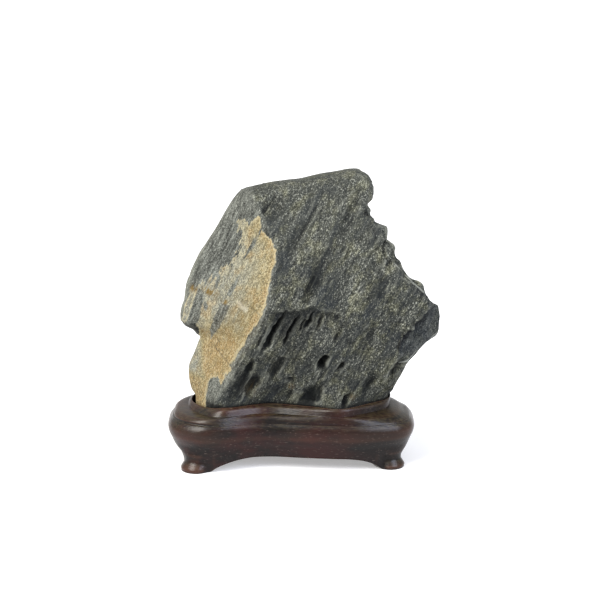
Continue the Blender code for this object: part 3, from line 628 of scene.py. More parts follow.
def rock_relief(points, normals):
    """How far each point of the rock moves along its normal, and its marks.

    Each kind of skin is used where the normal points its way: the rough face and the smooth facet in
    front, on either side of the ridge, the back behind, and the broken side at the right end.
    """
    x, y, z = points.T
    grain = x * math.cos(GRAIN_ANGLE) + z * math.sin(GRAIN_ANGLE)
    cross = x * math.sin(GRAIN_ANGLE) - z * math.cos(GRAIN_ANGLE)
    bedded = np.stack([cross, y / GRAIN_DEPTH, grain / GRAIN_STRETCH], axis=1)
    facing = smooth_step(*FACING, -normals[:, 1])
    behind = smooth_step(*FACING, normals[:, 1])
    broken = (1.0 - facing) * (1.0 - behind) * smooth_step(*BROKEN_SIDE, x)
    # The fresh mark gives the broken side its blue-black, and paints shade into the recess behind the
    # face's end.
    fresh_and_shade = smooth_step(-1.0, 1.0, x - along(FACE_END, z, FACE_END_EVENED)) * (1.0 - behind)
    fresh_and_shade *= smooth_step(*FRESH_AND_SHADE_FOOT, z) * smooth_step(*FRESH_AND_SHADE_TOP, z)
    past_stain = x - np.minimum(along(RIDGE, z, RIDGE_EVENED), along(STAIN_RIGHT, z, 1.0) + 0.8)
    rough = smooth_step(-0.5, 3.0, past_stain)

    stray_x = x + lumps(points, RAGGED)
    stray_z = z + lumps(points + 100.0, RAGGED)
    cut = ledges(stray_x, stray_z) + hollows(HOLLOWS, stray_x, stray_z)
    stray_x = x + lumps(points, BACK_RAGGED)
    stray_z = z + lumps(points + 100.0, BACK_RAGGED)
    back_cut = hollows(BACK_HOLLOWS, stray_x, stray_z)
    cracked = fissures(bedded)
    face = lumps(bedded, FACE_LUMPS) - cut - cracked
    rear = lumps(bedded, BACK_LUMPS) - back_cut - cracked
    relief = facing * blended(lumps(bedded, FACET_LUMPS), face, rough)
    relief += behind * rear + broken * (lumps(points, SIDE_LUMPS) + blocks(points))
    seam = seams(x, z) * facing
    relief += knobs(points) + lumps(points, BROAD_LUMPS) + seam
    relief *= smooth_step(*RELIEF_FREED, z)
    reach, share, back = EDGE_CALM
    off_left = np.hypot(x - along(LEFT_EDGE, z, LEFT_EVENED), back * (y - edge_plane(0.0, z)))
    off_right = np.hypot(x - along(RIGHT_EDGE, z, RIGHT_EVENED), back * (y - edge_plane(1.0, z)))
    relief *= 1.0 - share * np.exp(-((np.minimum(off_left, off_right) / reach) ** 2))
    marks = {
        "facet": (1.0 - behind) * (1.0 - rough),
        # Painted shade: the hollow mark darkens the face under its ledges, in its slots and fissures, and
        # the back's hollows, by their depth.
        "hollow": (facing * rough * (cut + FISSURE_SHADE * cracked)
                   + behind * (BACK_HOLLOW_SHADE * back_cut + FISSURE_SHADE * cracked)),
        "seam": seam,
        "fresh_and_shade": fresh_and_shade,
    }
    return relief, marks


def fissures(points):
    """The depth of the fissures: short slots wherever smooth noise is high."""
    return sum(depth * smooth_step(start, start + 0.45, value_noise(points, cell, seed))
               for depth, cell, seed, start in FISSURES)


def blocks(points):
    """The height of broken blocks: smooth noise pressed into flat steps with steep sides."""
    total = np.zeros(len(points))
    for height, cell, seed, steps in BLOCKS:
        level = value_noise(points, cell, seed) * steps
        flat = np.floor(level)
        total += height * (flat + smooth_step(0.35, 0.65, level - flat)) / steps
    return total


def ledges(x, z):
    """How deep the face is cut back below each ledge: full just under it, fading further down."""
    total = np.zeros_like(x)
    for left_x, left_z, right_x, right_z, overhang, fade in LEDGES:
        share = (x - left_x) / (right_x - left_x)
        below = blended(left_z, right_z, share) + LEDGE_WAVE[0] * np.sin(x / LEDGE_WAVE[1]) - z
        reach = np.exp(-((2.0 * share - 1.0) ** 4))
        total += overhang * reach * smooth_step(-1.0, 2.0, below) * np.exp(-np.maximum(below, 0.0) / fade)
    return total


def hollows(pits, x, z):
    """The depth of the slots and hollows: each is a flat-bottomed dent, long along the bedding."""
    cos, sin = math.cos(GRAIN_ANGLE), math.sin(GRAIN_ANGLE)
    total = np.zeros_like(x)
    for pit_x, pit_z, length, width, depth in pits:
        dx, dz = x - pit_x, z - pit_z
        along_bed = (dx * cos + dz * sin) / (length / 2.0)
        across_bed = (dx * sin - dz * cos) / (width / 2.0)
        total = np.maximum(total, depth * np.exp(-((along_bed ** 2 + across_bed ** 2) ** 1.5)))
    return total


def knobs(points):
    """How far the knobs stand out at each point, each falling off as a bell curve."""
    total = np.zeros(len(points))
    for knob_x, knob_y, knob_z, radius, height in KNOBS:
        off = points - (knob_x, knob_y, knob_z)
        total += height * np.exp(-(off * off).sum(axis=1) / (radius * radius))
    return total


def seams(x, z):
    """How far the edges stand up and the cracks are cut in, each falling off as a bell curve."""
    total = np.zeros_like(x)
    for line, width, height in SEAMS:
        away = np.min([segment_distance(x, z, *start, *end) for start, end in zip(line, line[1:])], axis=0)
        total += height * np.exp(-((away / width) ** 2))
    return total


def rock_markings(points, normals):
    """The stain, what it leaves bare, the rust, the cracks and the painted highlights, as distances or
    shares at each point.
    """
    x, _, z = points.T
    stain = np.maximum(inside_outline(x, z, STAIN), inside_outline(x, z, LOBE_STRIPE))
    bare = np.max([inside_outline(x, z, streak) for streak in STREAKS], axis=0)
    behind = smooth_step(-0.1, 0.5, normals[:, 1])
    off_right = along(STAIN_RIGHT, z) - x
    near_right = np.exp(-np.maximum(off_right, 0.0) / ORANGE_REACH)
    orange = np.maximum(near_right, smooth_step(*ORANGE_LOW, z))
    orange *= np.maximum(smooth_step(*ORANGE_FROM_X, x), smooth_step(*ORANGE_FOOT, z))
    feathered = smooth_step(*FEATHERED_LEFT, off_right) * smooth_step(*FEATHERED_ABOVE, z)
    crack = sum(np.exp(-(segment_distance(x, z, *line) / CRACK_WIDTH) ** 2) for line in CRACKS)
    shown = 1.0 - behind
    return {
        "stain": stain - 20.0 * behind,
        "bare": bare,
        "orange": orange,
        "feathered": feathered,
        "crack": crack * shown,
        "rust": spots(RUST_SPOTS, x, z) * shown,
        "crack_highlight": spots(CRACK_HIGHLIGHTS, x, z) * shown,
    }


def spots(places, x, z):
    """How strong the spots are at each point: each falls off as a bell curve."""
    return sum(strength * np.exp(-(((x - at_x) ** 2 + (z - at_z) ** 2) / radius ** 2))
               for at_x, at_z, radius, strength in places)


def segment_distance(x, z, x0, z0, x1, z1):
    """The distance from each point to a straight segment."""
    side_x, side_z = x1 - x0, z1 - z0
    share = np.clip(((x - x0) * side_x + (z - z0) * side_z) / (side_x ** 2 + side_z ** 2), 0.0, 1.0)
    return np.hypot(x - x0 - share * side_x, z - z0 - share * side_z)


def zip_row(quads, row, columns):
    """The quads with each back point of a row made the same as the front point across from it."""
    start = row * columns
    local = quads - start
    in_back = (local > columns // 2) & (local < columns)
    return np.where(in_back, start + columns - local, quads)


def used_points(points, quads):
    """The points that the quads use, and the quads renumbered to them."""
    kept, renumbered = np.unique(quads, return_inverse=True)
    return points[kept], renumbered.reshape(quads.shape)


def tidy_faces(quads):
    """Faces as lists, where a quad that has lost a corner to zipping becomes a triangle."""
    return [list(dict.fromkeys(quad)) for quad in quads.tolist()]


def make_rock(settings):
    """The stone: level rings, zipped shut along the crown and along the middle of the foot."""
    rows = settings.rows
    grid = rock_grid(settings.half_columns, rows)
    columns = grid.shape[1]
    foot_line = grid[0].copy()
    foot_line[:, 1] = 0.0
    points = np.concatenate([foot_line[None], grid]).reshape(-1, 3)
    quads = ring_quads(rows + 1, columns)
    quads = zip_row(quads, 0, columns)
    quads = zip_row(quads, rows, columns)
    points, quads = used_points(points, quads)
    normals = vertex_normals(points, quads)
    relief, marks = rock_relief(points, normals)
    points = held_in(points + normals * relief[:, None])
    points[:, 2] = np.maximum(points[:, 2], ROCK_FOOT_Z)
    marks.update(rock_markings(points, normals))
    normals = vertex_normals(points, quads)
    # Fine relief: pale edges, partly wear and partly painted highlight, and painted shade in creases.
    marks["worn_and_shaded"] = standing_out(points, quads, normals, STONE_EDGE_ROUNDS)
    # Broad relief: painted light on proud forms and painted shade in hollows of the form.
    marks["proud"] = standing_out(points, quads, normals, FORM_ROUNDS)
    return new_piece("stone", points, tidy_faces(quads), greywacke(settings), marks)


# ---- the stand -----------------------------------------------------------------------------------

# Feet, as (x, y, radius of the pad).
FEET = ((-52.8, -22.2, 8.5), (42.7, -17.4, 7.4), (-48.0, 17.0, 8.2), (36.5, 17.0, 7.8))
# The feet, as (height, how far outside the pad's radius, share by which the foot is a round pad).
FOOT_SECTION = (
    (0.0, -0.6, 1.0), (0.4, 0.0, 1.0), (1.5, 0.1, 1.0), (3.0, -0.8, 1.0), (4.6, -1.7, 0.9),
    (6.4, -1.7, 0.68), (8.2, -1.0, 0.4), (9.8, -0.5, 0.14),
)
PAD_PIVOT = 0.75 * 0.7    # how far a pad's pivot lies nearer the middle, along X and along Y, in radii
INNER_SIDE = (0.1, 1.0)   # where a foot stops being round towards the middle, in radii from its centre
FOOT_COVE = 1.8           # how far the cove beside a foot reaches, in radii of its pad
# The section of the body, as (height, how far in from its widest line at the ends, and in front, and
# how far the line that is cut below the shoulder sinks there).
BODY_SECTION = (
    (12.2, 2.6, 1.8, 0), (14.6, 1.7, 0.8, 0), (17.2, 0.6, 0.0, 0), (20.0, 0.2, 0.0, 0),
    (22.2, 1.1, 0.5, 0), (23.6, 2.3, 1.2, 0), (24.1, 2.7, 1.6, 0), (24.3, 3.1, 2.0, 0.6),
    (24.6, 3.5, 2.4, 0.2),
)
LINE_FADES = ((-52, 0.1), (-34, 1), (42, 1), (52, 0))      # the line fades at the ends: (x, share)
APRON_EDGE_INSETS = (5.8, 3.6)      # of the apron's lower edge, at the ends and in front
APRON_DROP = 1.5          # the apron's edge comes down by this much towards each foot
APRON_DROP_REACH = (3.4, 1.5)       # from where to where it does so, in radii of the foot's pad
# How far in from the widest line the rings of the underside lie, from the apron to the middle.
UNDER_INSETS = (8.5, 11.0, 14.0, 17.0, 20.0, 23.0)
# The shoulder and the rim, as (height, share of the way in to the next plan outline, shift to the left).
SHOULDER_SECTION = ((25.6, 0.12, 1.0), (27.0, 0.38, 1.1), (27.9, 0.72, 0.8), (RIM_BASE_Z, 1.0, 0.0))
RIM_SECTION = (
    (28.3, 0.06, 0.0), (29.6, 0.22, 0.0), (30.9, 0.40, 0.0), (RIM_TOP_Z, 0.66, 0.0), (31.4, 1.0, 0.0),
)
# How far the rim comes down at its left end, as (x, depth), and the height above which it does.
RIM_DIP = ((-56, 2.0), (-49, 1.8), (-40, 0))
RIM_DIP_FROM_Z = 26.6
DUST_AND_SHEEN_LIES = (0.10, 0.85)  # where a normal points up by this much, from none to all of the dust and painted sheen


def pads_away(x, y):
    """How far the nearest foot is from each point, in radii of its pad."""
    radii = [np.hypot(x - foot_x, y - foot_y) / radius for foot_x, foot_y, radius in FEET]
    return np.min(radii, axis=0)


def foot_share(x, y):
    """1 over the pad of a foot, and less along its cove, as the cube of the way that is left of it."""
    return np.clip(1.0 - (pads_away(x, y) - 1.0) / FOOT_COVE, 0.0, 1.0) ** 3


def apron_edge(x, y):
    """The height of the apron's lower edge, which comes down towards the feet."""
    return UNDERSIDE_Z - APRON_DROP * smooth_step(*APRON_DROP_REACH, pads_away(x, y))


def nearest_pad(x, y):
    """The centre and the radius of the pad that is nearest to each point."""
    feet = np.array(FEET)
    nearest = np.hypot(x[None] - feet[:, :1], y[None] - feet[:, 1:2]).argmin(axis=0)
    return feet[nearest].T


def inner_share(x, y):
    """1 on the side of a foot towards the middle, where it runs into the apron, and 0 on its outer side."""
    centre_x, _, radius = nearest_pad(x, y)
    return smooth_step(*INNER_SIDE, -np.sign(centre_x) * (x - centre_x) / radius)


def on_nearest_pad(x, y, out):
    """The point of the nearest pad's edge, moved outwards by out, that lies the same way as (x, y).

    The way is taken from a pivot inside the pad, on the side towards the middle of the stand: with p
    the pivot and u the way, seen from the pad's centre, the point is p + u (sqrt((p.u)^2 - p.p + r^2)
    - p.u).
    """
    centre_x, centre_y, radius = nearest_pad(x, y)
    pivot_x = -np.sign(centre_x) * PAD_PIVOT * radius
    pivot_y = -np.sign(centre_y) * PAD_PIVOT * radius
    way = np.arctan2(y - centre_y - pivot_y, x - centre_x - pivot_x)
    way_x, way_y = np.cos(way), np.sin(way)
    dot = pivot_x * way_x + pivot_y * way_y
    reach = np.sqrt(dot * dot - pivot_x ** 2 - pivot_y ** 2 + (radius + out) ** 2) - dot
    return centre_x + pivot_x + reach * way_x, centre_y + pivot_y + reach * way_y


def level_ring(turn, plan, end_inset, face_inset, height):
    """A plan outline at one height, as points."""
    x, y = plan_outline(turn, plan, end_inset, face_inset)
    return np.stack([x, y, np.full_like(turn, height)], axis=-1)


def between(outer, inner, section):
    """Rings between two rings, at the heights and shares of a section, each shifted to the left."""
    rings = []
    for height, share, shift in section:
        ring = blended(outer, inner, share)
        ring[:, 0] -= shift
        ring[:, 2] = height
        rings.append(ring)
    return rings


def stand_rings(turn):
    """The rings that guide the stand, from under the feet up and over into the seat."""
    innermost, *insets, outermost = reversed(UNDER_INSETS)
    rings = [level_ring(turn, BODY_PLAN, innermost, innermost, UNDERSIDE_Z)]
    for inset in insets:
        x, y = plan_outline(turn, BODY_PLAN, inset, inset)
        rings.append(np.stack([x, y, UNDERSIDE_Z * (1.0 - foot_share(x, y))], axis=-1))
    x, y = plan_outline(turn, BODY_PLAN, outermost, outermost)
    rings.append(np.stack([x, y, apron_edge(x, y) * (1.0 - foot_share(x, y))], axis=-1))

    ankle_z, *ankle_insets, _ = BODY_SECTION[0]
    apron_line = plan_outline(turn, BODY_PLAN, *APRON_EDGE_INSETS)
    share, edge_z = foot_share(*apron_line), apron_edge(*apron_line)
    for height, out, roundness in FOOT_SECTION:
        climb = height / ankle_z
        insets = [blended(low, high, climb) for low, high in zip(APRON_EDGE_INSETS, ankle_insets)]
        x, y = plan_outline(turn, BODY_PLAN, *insets)
        outer = 1.0 - inner_share(x, y)
        pad_x, pad_y = on_nearest_pad(x, y, out * outer)
        z = blended(blended(edge_z, ankle_z, climb), height, share)
        rounded = share * roundness * outer
        rings.append(np.stack([blended(x, pad_x, rounded), blended(y, pad_y, rounded), z], axis=-1))
    for height, *insets, sunk in BODY_SECTION:
        ring = level_ring(turn, BODY_PLAN, *insets, height)
        ring[:, 2] -= sunk * along(LINE_FADES, ring[:, 0])
        rings.append(ring)

    rim = level_ring(turn, RIM_PLAN, 0.0, 0.0, RIM_BASE_Z)
    rim[:, 0] += RIM_SHIFT
    seat = level_ring(turn, SEAT_PLAN, 0.0, 0.0, SEAT_FLOOR_Z)
    rings += between(rings[-1], rim, SHOULDER_SECTION)
    rings += between(rim, seat, RIM_SECTION)
    rings.append(seat)
    rings = np.array(rings)
    lowered = smooth_step(RIM_DIP_FROM_Z, RIM_TOP_Z, rings[..., 2])
    rings[..., 2] -= along(RIM_DIP, rings[..., 0]) * lowered
    return rings


def smoothed_rings(rings, steps):
    """Rings along a Catmull-Rom curve through the guiding rings, with steps rows for each of them."""
    before, start, end, after = (rings[[0, *range(len(rings) - 2)]], rings[:-1], rings[1:],
                                 rings[[*range(2, len(rings)), -1]])
    rows = []
    for t in np.arange(steps) / steps:
        rows.append(0.5 * (2.0 * start + (end - before) * t
                           + (2.0 * before - 5.0 * start + 4.0 * end - after) * t * t
                           + (3.0 * start - before - 3.0 * end + after) * t ** 3))
    return np.concatenate([np.stack(rows, axis=1).reshape(-1, *rings.shape[1:]), rings[-1:]])


def even_turns(count, *plans):
    """Angles from pi up to 3 pi whose points lie evenly along the plan outlines.

    The lengths along the outlines are added up, and are read backwards at even shares of the whole.
    """
    fine = np.linspace(math.pi, 3.0 * math.pi, 8001)
    length = np.zeros_like(fine)
    for plan in plans:
        x, y = plan_outline(fine, plan)
        length[1:] += np.cumsum(np.hypot(np.diff(x), np.diff(y)))
    return np.interp(length[-1] * np.arange(count) / count, length, fine)


def make_stand(settings):
    """The stand: its smoothed rings, closed below and on the seat's floor."""
    columns = settings.columns
    turn = even_turns(columns, BODY_PLAN, SEAT_PLAN)
    rings = smoothed_rings(stand_rings(turn), settings.steps)
    rings[..., 2] = np.maximum(rings[..., 2], 0.0)
    points = rings.reshape(-1, 3)
    quads = ring_quads(len(rings), columns)
    normals = vertex_normals(points, quads)
    marks = {
        # Fine relief: wear on the edges, and painted shade in the grooves.
        "worn_and_shaded": standing_out(points, quads, normals, STAND_EDGE_ROUNDS),
        # Broad relief: painted shade in hollows of the form.
        "proud": standing_out(points, quads, normals, FORM_ROUNDS),
        # How far each point faces up: for dust with painted sheen, and for the wax's shine.
        "upward": smooth_step(*DUST_AND_SHEEN_LIES, normals[:, 2]),
    }
    faces = quads.tolist()
    faces.append(list(range(columns))[::-1])
    last = (len(rings) - 1) * columns
    faces.append(list(range(last, last + columns)))
    return new_piece("carved_stand", points, faces, rosewood(settings), marks)


# ---- the finishes --------------------------------------------------------------------------------

# The noises in the stone, as (stretch along the bedding, size in mm, detail, roughness). Its grains are
# 0.1 to 0.5 mm across, and are drawn at 0.5 mm so that they show.
STONE_NOISES = {
    "grit": (1.7, 0.5, 1.0, 0.5), "streak": (3.2, 1.3, 3.0, 0.6), "long streak": (8.0, 1.3, 3.0, 0.6),
    "patch": (1.6, 5.0, 4.0, 0.6), "broad": (3.2, 9.0, 3.0, 0.5), "ragged": (5.0, 1.5, 3.0, 0.6),
}


# The higher a grain of the stone lies, the more likely it is bare: so much is added, for each metre of
# height, to the noise that shows it pale, and taken from the one that shows it dark.
GRAINS_BARED = 1.2


def greywacke(settings):
    """Greywacke, a hard dark sandstone, water-worn and then handled: matt, grey-green, finely speckled.

    The grain runs with the bedding. Edges are rubbed pale, and painted with a highlight as well; creases,
    hollows, slots, cracks and the foot at the seat are painted in shade. The left facet is worn smooth and
    paler, iron has stained it ochre, and the broken right side is blue-black, with painted shade in its
    recess. Broad proud forms are painted lighter, the face lighter towards the top and darker towards the
    bottom, and highlights are painted beside a crack.
    """
    material, tree, shader = new_material("water-worn greywacke")
    place = add(tree, "ShaderNodeTexCoord").outputs["Object"]
    height = add(tree, "ShaderNodeSeparateXYZ", {"Vector": place}).outputs["Z"]
    marks = {name: add(tree, "ShaderNodeAttribute", attribute_name=name).outputs["Fac"] for name in (
        "facet", "hollow", "fresh_and_shade", "stain", "orange", "feathered", "rust", "crack_highlight", "crack",
        "bare", "worn_and_shaded", "proud", "seam")}
    noise = noises(tree, place, STONE_NOISES, GRAIN_ANGLE)

    # Each kind of stone takes its colours from fine grit, mixed with streaks and broad patches.
    tones = []
    for streaks, share in (("streak", 0.42), ("long streak", 0.5)):
        fine = add(tree, "ShaderNodeMix", {0: share, 2: noise["grit"], 3: noise[streaks]}).outputs[0]
        tones.append(add(tree, "ShaderNodeMix", {0: 0.22, 2: fine, 3: noise["broad"]}).outputs[0])
    colour = settings.stone_colour
    face = add(tree, "ShaderNodeValToRGB", {"Fac": tones[0]}, ramp=(
        (0.38, "#191c1e"), (0.46, shaded(colour, 0.64)), (0.51, shaded(colour, 1.0)),
        (0.56, shaded(colour, 1.5)), (0.64, "#85867b"),
    )).outputs["Color"]
    colour = settings.facet_colour
    facet = add(tree, "ShaderNodeValToRGB", {"Fac": tones[1]}, ramp=(
        (0.39, shaded(colour, 0.25)), (0.46, shaded(colour, 0.58)), (0.51, shaded(colour, 0.95)),
        (0.56, shaded(colour, 1.5)), (0.63, shaded(colour, 2.5)),
    )).outputs["Color"]
    fresh_and_shade = add(tree, "ShaderNodeValToRGB", {"Fac": tones[0]}, ramp=(
        (0.38, "#15181b"), (0.50, "#282c2f"), (0.62, "#484c4e"))).outputs["Color"]
    olive = add(tree, "ShaderNodeValToRGB", {"Fac": tones[0]}, ramp=(
        (0.40, "#23241b"), (0.50, "#4d4d3a"), (0.62, "#96957a"))).outputs["Color"]

    # The stain is greyer and paler where it has spread thin, and the grain shows through it.
    warm = add(tree, "ShaderNodeMix", {0: 0.5, 2: marks["orange"], 3: noise["patch"]}).outputs[0]
    ochre = add(tree, "ShaderNodeValToRGB", {"Fac": warm}, ramp=(
        (0.26, "#7c7e75"), (0.42, "#84806b"), (0.58, "#8c805d"), (0.76, "#927d54"),
    )).outputs["Color"]
    ochre = covered(tree, ochre, (
        ("#8f6f40", noise["patch"], 0.52, 0.64, 0.35),
        ("#4f4a3b", noise["grit"], 0.52, 0.36, 0.70),
        ("#565141", noise["streak"], 0.49, 0.36, 0.50),
        ("#c2bb9d", noise["grit"], 0.53, 0.68, 0.45),
        ("#b8b194", noise["streak"], 0.54, 0.66, 0.35),
    ))
    # Its border is ragged, and feathered along the bedding at the left. The streaks are ragged too.
    ragged = add(tree, "ShaderNodeMath", {0: noise["ragged"], 1: 0.5}, operation="SUBTRACT").outputs[0]
    spread = add(tree, "ShaderNodeMix", {0: marks["feathered"], 2: 3.0, 3: 20.0}).outputs[0]
    border = add(tree, "ShaderNodeMath", {0: ragged, 1: spread, 2: marks["stain"]},
                 operation="MULTIPLY_ADD").outputs[0]
    bare = add(tree, "ShaderNodeMath", {0: ragged, 1: 3.0, 2: marks["bare"]},
               operation="MULTIPLY_ADD").outputs[0]
    ochre = covered(tree, ochre, (("#b9b08f", border, 1.1, 0.3, 0.5),))
    mottled = add(tree, "ShaderNodeMapRange", {
        "Value": noise["ragged"], "From Min": 0.38, "From Max": 0.56}).outputs[0]
    rust = add(tree, "ShaderNodeMath", {0: marks["rust"], 1: mottled}, operation="MULTIPLY").outputs[0]

    # Higher up, more of the stone's grains are bare: the pale ones, and the dark pits between them.
    pale, dark = (
        add(tree, "ShaderNodeMath", {0: height, 1: bared, 2: noise["grit"]},
            operation="MULTIPLY_ADD").outputs[0]
        for bared in (GRAINS_BARED, -GRAINS_BARED)
    )

    stone = covered(tree, face, (
        ("#a5a79b", pale, 0.73, 0.88, 0.45),
        ("#15181a", dark, 0.33, 0.19, 0.50),
        (olive, noise["patch"], 0.48, 0.64, 0.50),
        ("#272c31", noise["broad"], 0.50, 0.36, 0.42),
        # painted light: paler towards the top
        ("#8f9183", height, 0.085, 0.130, 0.06),
        # painted shade: darker towards the bottom
        ("#0d0f10", height, 0.072, 0.034, 0.26),
        (facet, marks["facet"], 0.0, 1.0, 1.0),
        # pale on fine edges: partly rubbed wear, partly painted highlight
        ("#a3a496", marks["worn_and_shaded"], 0.03, 0.22, 0.18),
        # painted light: paler on broad proud forms
        ("#8e9084", marks["proud"], 0.2, 1.0, 0.20),
        ("#c4c5ba", noise["grit"], 0.66, 0.76, 0.12),
        # painted shade: darker in fine creases
        ("#0b0d0e", marks["worn_and_shaded"], -0.03, -0.26, 0.45),
        # painted shade: darker in broad hollows of the form
        ("#0d0f0f", marks["proud"], -0.20, -1.2, 0.60),
        # the broken side's blue-black, with painted shade in its recess
        (fresh_and_shade, marks["fresh_and_shade"], 0.0, 1.0, 0.65),
        # painted shade: darker in slots, under ledges and in fissures by depth, near black where deepest
        ("#0d1011", marks["hollow"], 0.35, 2.6, 0.78),
        ("#050606", marks["hollow"], 3.0, 6.0, 0.70),
        # painted highlight: pale along the edges that stand up; painted shade: black in the cracks cut in
        ("#a2a59e", marks["seam"], 0.15, 0.55, 0.40),
        ("#08090a", marks["seam"], -0.2, -1.0, 0.75),
        # painted shade: a near-black band round the rock's foot, where it sits in the seat
        ("#070707", height, 0.0336, 0.0320, 0.8),
        (ochre, border, -0.25, 0.35, 1.0),
        (facet, bare, -0.3, 0.2, 0.95),
        ("#68511f", rust, 0.0, 1.0, 0.85),
        # painted highlights: pale spots, mostly beside the upper crack
        ("#d5d0be", marks["crack_highlight"], 0.3, 0.9, 0.55),
        ("#453f33", marks["crack"], 0.3, 0.9, 0.6),
    ))

    relief = add(tree, "ShaderNodeMix", {0: 0.45, 2: noise["grit"], 3: noise["streak"]}).outputs[0]
    bump = add(tree, "ShaderNodeBump",
               {"Strength": 0.7, "Distance": 1.0 * MM, "Height": relief}).outputs["Normal"]
    tree.links.new(stone, shader.inputs["Base Color"])
    tree.links.new(bump, shader.inputs["Normal"])
    shader.inputs["Roughness"].default_value = 0.75
    shader.inputs["Specular IOR Level"].default_value = 0.15
    return material


# The noises in the wood, as (stretch along the grain, size in mm, detail, roughness). Its pores are 0.2 mm
# wide, and are drawn at 0.5 mm so that they show.
WOOD_NOISES = {
    "pores": (5.0, 0.5, 1.0, 0.5), "figure": (9.0, 1.2, 3.0, 0.6), "rubbed": (2.2, 11.0, 3.0, 0.55),
    "dust_and_sheen": (3.0, 0.9, 2.0, 0.5),
}


def rosewood(settings):
    """Chinese rosewood, carved, oiled and waxed: nearly black, red where the wax is rubbed thin.

    Its pores are short open lines along the grain. Dust has settled on what faces up, which is also
    painted paler there as sheen; grooves and hollows of the form are painted in shade, the right end is
    painted darker as shade, and handling has polished the edges.
    """
    material, tree, shader = new_material("waxed rosewood")
    place = add(tree, "ShaderNodeTexCoord").outputs["Object"]
    across = add(tree, "ShaderNodeSeparateXYZ", {"Vector": place}).outputs["X"]
    marks = {name: add(tree, "ShaderNodeAttribute", attribute_name=name).outputs["Fac"]
             for name in ("worn_and_shaded", "proud", "upward")}
    noise = noises(tree, place, WOOD_NOISES)
    # Dust on what faces up, which also stands for painted sheen there.
    patchy_dust_and_sheen = add(tree, "ShaderNodeMapRange", {
        "Value": noise["dust_and_sheen"], "From Min": 0.40, "From Max": 0.62}).outputs[0]
    dust_and_sheen = add(tree, "ShaderNodeMath", {0: marks["upward"], 1: patchy_dust_and_sheen}, operation="MULTIPLY").outputs[0]

    wood = covered(tree, shaded(settings.wood_colour, 1.35), (
        (shaded(settings.wood_colour, 0.55), noise["figure"], 0.65, 0.35, 1.0),
        (shaded(settings.red_colour, 1.0), noise["rubbed"], 0.40, 0.60, 0.85),
        # painted shade: darker towards the right end
        (shaded(settings.wood_colour, 0.6), across, 0.008, 0.036, 0.92),
        ("#7d6f66", noise["pores"], 0.65, 0.73, 0.20),
        ("#6b4a3a", marks["worn_and_shaded"], 0.01, 0.10, 0.25),
        # painted shade: near black in fine grooves
        ("#0a0706", marks["worn_and_shaded"], -0.01, -0.10, 0.7),
        # painted shade: darker in broad hollows of the form
        ("#100b0a", marks["proud"], -0.2, -1.5, 0.6),
        # dust, and painted sheen on what faces up
        ("#5a5138", dust_and_sheen, 0.0, 1.0, 0.28),
    ))

    # The wax's specular level is higher on what faces up.
    shine = add(tree, "ShaderNodeMapRange", {"Value": marks["upward"], "To Min": 0.21, "To Max": 0.37})
    bump = add(tree, "ShaderNodeBump",
               {"Strength": 0.4, "Distance": 0.2 * MM, "Height": noise["pores"]}).outputs["Normal"]
    tree.links.new(wood, shader.inputs["Base Color"])
    tree.links.new(shine.outputs[0], shader.inputs["Specular IOR Level"])
    tree.links.new(bump, shader.inputs["Normal"])
    shader.inputs["Roughness"].default_value = 0.28
    return material


def opal_acrylic(settings):
    """Opal acrylic, the sheet of a photographer's light table: matt white, and faintly lit from below."""
    material, _, shader = new_material("opal acrylic")
    shader.inputs["Base Color"].default_value = shaded(settings.floor_colour, 1.0)
    shader.inputs["Roughness"].default_value = 0.8
    shader.inputs["Emission Color"].default_value = linear("#ffffff")
    shader.inputs["Emission Strength"].default_value = settings.floor_glow
    return material


# ---- the add-on ----------------------------------------------------------------------------------

class RockSettings(bpy.types.PropertyGroup):
    """The stone's sizes and colours."""

    half_columns: bpy.props.IntProperty(
        name="Columns in front", description="Columns of the stone's grid over its front",
        default=218, min=20)
    rows: bpy.props.IntProperty(
        name="Rows", description="Rows of the stone's grid", default=226, min=20)
    stone_colour: bpy.props.FloatVectorProperty(
        name="Stone", description="The mean colour of the rough face", default=linear("#373935")[:3],
        subtype="COLOR", min=0.0, max=1.0)
    facet_colour: bpy.props.FloatVectorProperty(
        name="Worn facet", description="The mean colour of the smooth left facet",
        default=linear("#5a5c56")[:3], subtype="COLOR", min=0.0, max=1.0)


class StandSettings(bpy.types.PropertyGroup):
    """The stand's sizes and colours."""

    columns: bpy.props.IntProperty(
        name="Columns", description="Columns of the stand's grid, all round", default=400, min=16)
    steps: bpy.props.IntProperty(
        name="Rows for each ring", description="Rows for each ring that guides the stand", default=4, min=1)
    wood_colour: bpy.props.FloatVectorProperty(
        name="Wood", description="The colour of the wood", default=linear("#120d0c")[:3],
        subtype="COLOR", min=0.0, max=1.0)
    red_colour: bpy.props.FloatVectorProperty(
        name="Red wood", description="The colour where the wax is rubbed thin",
        default=linear("#2a0f0d")[:3], subtype="COLOR", min=0.0, max=1.0)


